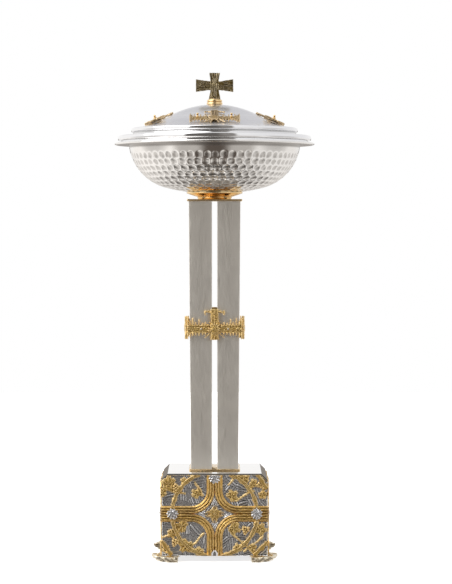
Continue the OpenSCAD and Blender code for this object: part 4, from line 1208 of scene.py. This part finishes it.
def finial():
    low, high = box("finial_collar")
    z, h, r = low[2], high[2] - low[2], high[0]
    dip = dome_height(0) - dome_height(r)
    neck, cap = r - h * 0.22, r - 0.6 - h * 0.2 * 1.4
    seat = z + 0.4
    outline = [[0, z + 0.2], [r * 0.5, seat - dip * 0.25], [r - 1.6, seat - dip * 0.55]]
    outline += [[x, z + h * share] for x, share in (
        (r - 0.6, 0.03), (r - 0.1, 0.10), (r, 0.24), (r - 0.1, 0.36), (r - 0.8, 0.43), (neck, 0.46),
        (neck, 0.49), (r - 1.3, 0.52), (r - 0.7, 0.58), (r - 0.6, 0.70), (r - 0.8, 0.80),
        (r - 1.6, 0.87), (cap, 0.90), (r * 0.76, 0.93), (r * 0.74, 1), (0, 1))]
    add_turned("finial_ring", outline, 128, "gilt_polished", "finial_collar", "lid")
    low, high = box("finial_cross")
    foot_z, tall, wide, thick = low[2], high[2] - low[2], high[0], high[1]
    arm_at, waist, flare = 29.4, 8.25, 14
    low_at, high_at = arm_at - waist, arm_at + waist
    upright = [[-13.2, 0], [-8.9, low_at], [-8.9, high_at], [-11.75, tall],
               [11.75, tall], [8.9, high_at], [8.9, low_at], [13.2, 0]]
    arms = [[-wide, arm_at - flare], [-wide, arm_at + flare], [0, high_at],
            [wide, arm_at + flare], [wide, arm_at - flare], [0, low_at]]
    parts = [slab(upright, -thick, thick), slab(arms, -thick * 0.8, thick * 0.8)]
    points, normals, faces = cast(parts, 0.55, 2)
    on_arm = np.abs(points[:, 0]) > 9 + 1.5 * np.abs(points[:, 1] - arm_at) / arm_at
    fibres = np.where(on_arm[:, None], points[:, [1, 0, 2]], points)
    warp = noise(fibres, np.array([6.0, 11.0, 30.0]), 901)[:, None] * [1.4, 0, 0]
    bark = np.abs(noise(fibres + warp, np.array([2.3, 13.0, 40.0]), 902))
    knots = noise(points, 4.5, 903)
    depth = np.where(on_arm, 0.75, 1.15) * (1 - np.clip(bark * 3.2, 0, 1)) + 0.25 * knots + 0.2
    points = points - normals * np.clip(depth, 0, None)[:, None]
    points = np.clip(points, [-wide, 0, -thick], [wide, tall, thick])
    placed = flat(points[:, 0], -points[:, 2], foot_z + points[:, 1])
    add("finial_bark", (placed, faces), "gilt_bark", "finial_cross", "lid", sharp=80)


finial()


# Studio: a pale floor, a bright room with a darker side behind the camera, a lamp and the camera

FLOOR_RADIUS = 5
FLOOR_TONE = (0.96, 0.96, 0.96)
LAMP_PLACE, LAMP_AIM = (-2.5, -1.3, 3.1), (0, 0, 0.55)
LAMP_SIZE, LAMP_POWER = 4.4, 98


def stage(name, data):
    """Puts a part of the studio into the scene."""
    made = bpy.data.objects.new(name, data)
    bpy.context.scene.collection.objects.link(made)
    return made


def floor():
    material = bpy.data.materials.new("floor")
    material.use_nodes = True
    tree = material.node_tree
    shader = tree.nodes["Principled BSDF"]
    place = node(tree, "ShaderNodeTexCoord").outputs["Object"]
    tone = mixed(clouds_of(place, 3.0), FLOOR_TONE, [c * 0.97 for c in FLOOR_TONE])
    radius = vector("VectorMath", {0: place}, "Value", operation="LENGTH")
    tree.links.new(tone, shader.inputs["Base Color"])
    tree.links.new(tone, shader.inputs["Emission Color"])
    tree.links.new(ranged(radius, 0.6, 3.0, 0.72, 0.85), shader.inputs["Emission Strength"])
    shader.inputs["Roughness"].default_value = 0.7
    mesh = bpy.data.meshes.new("floor")
    mesh.from_pydata(spot(circle(64), FLOOR_RADIUS).tolist(), [], [list(range(64))])
    mesh.materials.append(material)
    stage("floor", mesh).visible_glossy = False


def room():
    """A colour for each direction: a bright room, and zones laid over one another."""
    world = bpy.data.worlds.new("studio")
    bpy.context.scene.world = world
    world.use_nodes = True
    tree = world.node_tree
    tree.nodes.clear()
    way = node(tree, "ShaderNodeTexCoord").outputs["Generated"]
    x, y, z = node(tree, "ShaderNodeSeparateXYZ", {0: way}).outputs
    aside = maths("DIVIDE", x, maths("MAXIMUM", times(y, -1.0), 0.0001))
    away = maths("ABSOLUTE", x)

    plain = mixed(ranged(x, 0.0, 0.8), (1.0, 0.995, 0.985), (0.84, 0.84, 0.85))
    lower = mixed(ranged(x, -0.50, -0.12), (1.02, 0.99, 0.96), (0.56, 0.53, 0.505))
    lower = mixed(ranged(x, 0.1, 0.50), lower, (0.86, 0.84, 0.82))
    stripes = ranged(maths("SINE", times(y, 10.0)), -0.1, 0.5)
    lit = mixed(ranged(away, 0.08, 0.28), (0.24, 0.21, 0.185), (0.92, 0.89, 0.85))
    grey = mixed(ranged(aside, 0.04, 0.2), (0.12, 0.112, 0.103), (0.25, 0.235, 0.22))

    # Each zone: its colour, its share, and the limits it lies within, as for ranged
    zones = {
        "crown": ((0.60, 0.60, 0.625), 1.0, (y, 0.05, 0.4), (z, 0.22, 0.36), (z, 0.86, 0.97, 1, 0),
                  (away, 0.18, 0.55, 1, 0)),
        "lower half": (lower, 1.0, (z, 0.0, -0.12)),
        "dusk": ((0.42, 0.395, 0.37), 0.85, (y, 0.0, -0.2), (aside, -1.9, -1.2),
                 (aside, 1.2, 1.9, 1, 0), (z, -0.1, -0.25)),
        "glow": ((0.95, 0.92, 0.88), 0.6, (z, -0.2, -0.3), (z, -0.6, -0.5),
                 (away, 0.4, 0.6, 1, 0), (y, -0.1, 0.1)),
        "beneath": (mixed(stripes, (0.065, 0.057, 0.05), lit), 1.0, (z, -0.62, -0.76),
                    (away, 0.25, 0.6, 1, 0.55), (y, -0.3, 0.0, 1, 0.8)),
        "flank": ((0.30, 0.285, 0.27), 0.55, (away, 0.86, 0.96), (z, 0.05, -0.05)),
        "horizon": ((0.27, 0.245, 0.22), 1.0, (y, 0.2, 0.6), (z, 0.015, 0.04, 1, 0),
                    (z, -0.14, -0.09), (away, 0.055, 0.075), (away, 0.2, 0.3, 1, 0)),
        "dark level": (grey, 1.0, (y, 0.0, -0.2), (aside, -0.74, -0.67),
                       (aside, 0.44, 0.52, 1, 0), (z, -0.25, -0.12), (z, 0.86, 0.95, 1, 0)),
        "dark fall": ((0.105, 0.086, 0.073), 1.0, (y, 0.0, -0.2), (aside, -0.44, -0.20),
                      (aside, 0.22, 0.46, 1, 0), (z, -0.12, -0.25), (z, -0.9, -0.7)),
    }
    colour = plain
    for over, share, *limits in zones.values():
        colour = mixed(times(*(ranged(*values) for values in limits), share), colour, over)
    seen = node(tree, "ShaderNodeLightPath").outputs["Is Camera Ray"]
    colour = mixed(seen, colour, (1.0, 1.0, 1.0))
    shade = node(tree, "ShaderNodeBackground", {"Color": colour, "Strength": 1.0})
    node(tree, "ShaderNodeOutputWorld", {0: shade.outputs[0]})


def lamp():
    light = bpy.data.lights.new("key", "AREA")
    light.size, light.energy = LAMP_SIZE, LAMP_POWER
    made = stage("key", light)
    made.location = LAMP_PLACE
    aim = Vector(LAMP_AIM) - Vector(LAMP_PLACE)
    made.rotation_euler = aim.to_track_quat("-Z", "Y").to_euler()


# Camera, from the photograph: the object's axis, the eye level and the scale
PHOTO_W, PHOTO_H = 452, 584
FOCAL_PX = 2300
AXIS_PX = 214.6
HORIZON_PX = 229
EYE = (0.0, -5.009, 0.711)


def camera():
    data = bpy.data.cameras.new("camera")
    data.sensor_width = 36
    data.lens = FOCAL_PX / max(PHOTO_W, PHOTO_H) * data.sensor_width
    data.dof.use_dof = False
    made = stage("camera", data)
    pitch = atan2(PHOTO_H / 2 - HORIZON_PX, FOCAL_PX)
    yaw = atan2(PHOTO_W / 2 - AXIS_PX, FOCAL_PX)
    made.location = EYE
    made.rotation_euler = (pi / 2 - pitch, 0, -yaw)
    bpy.context.scene.camera = made


floor()
room()
lamp()
camera()
bpy.context.scene.view_settings.view_transform = "Standard"
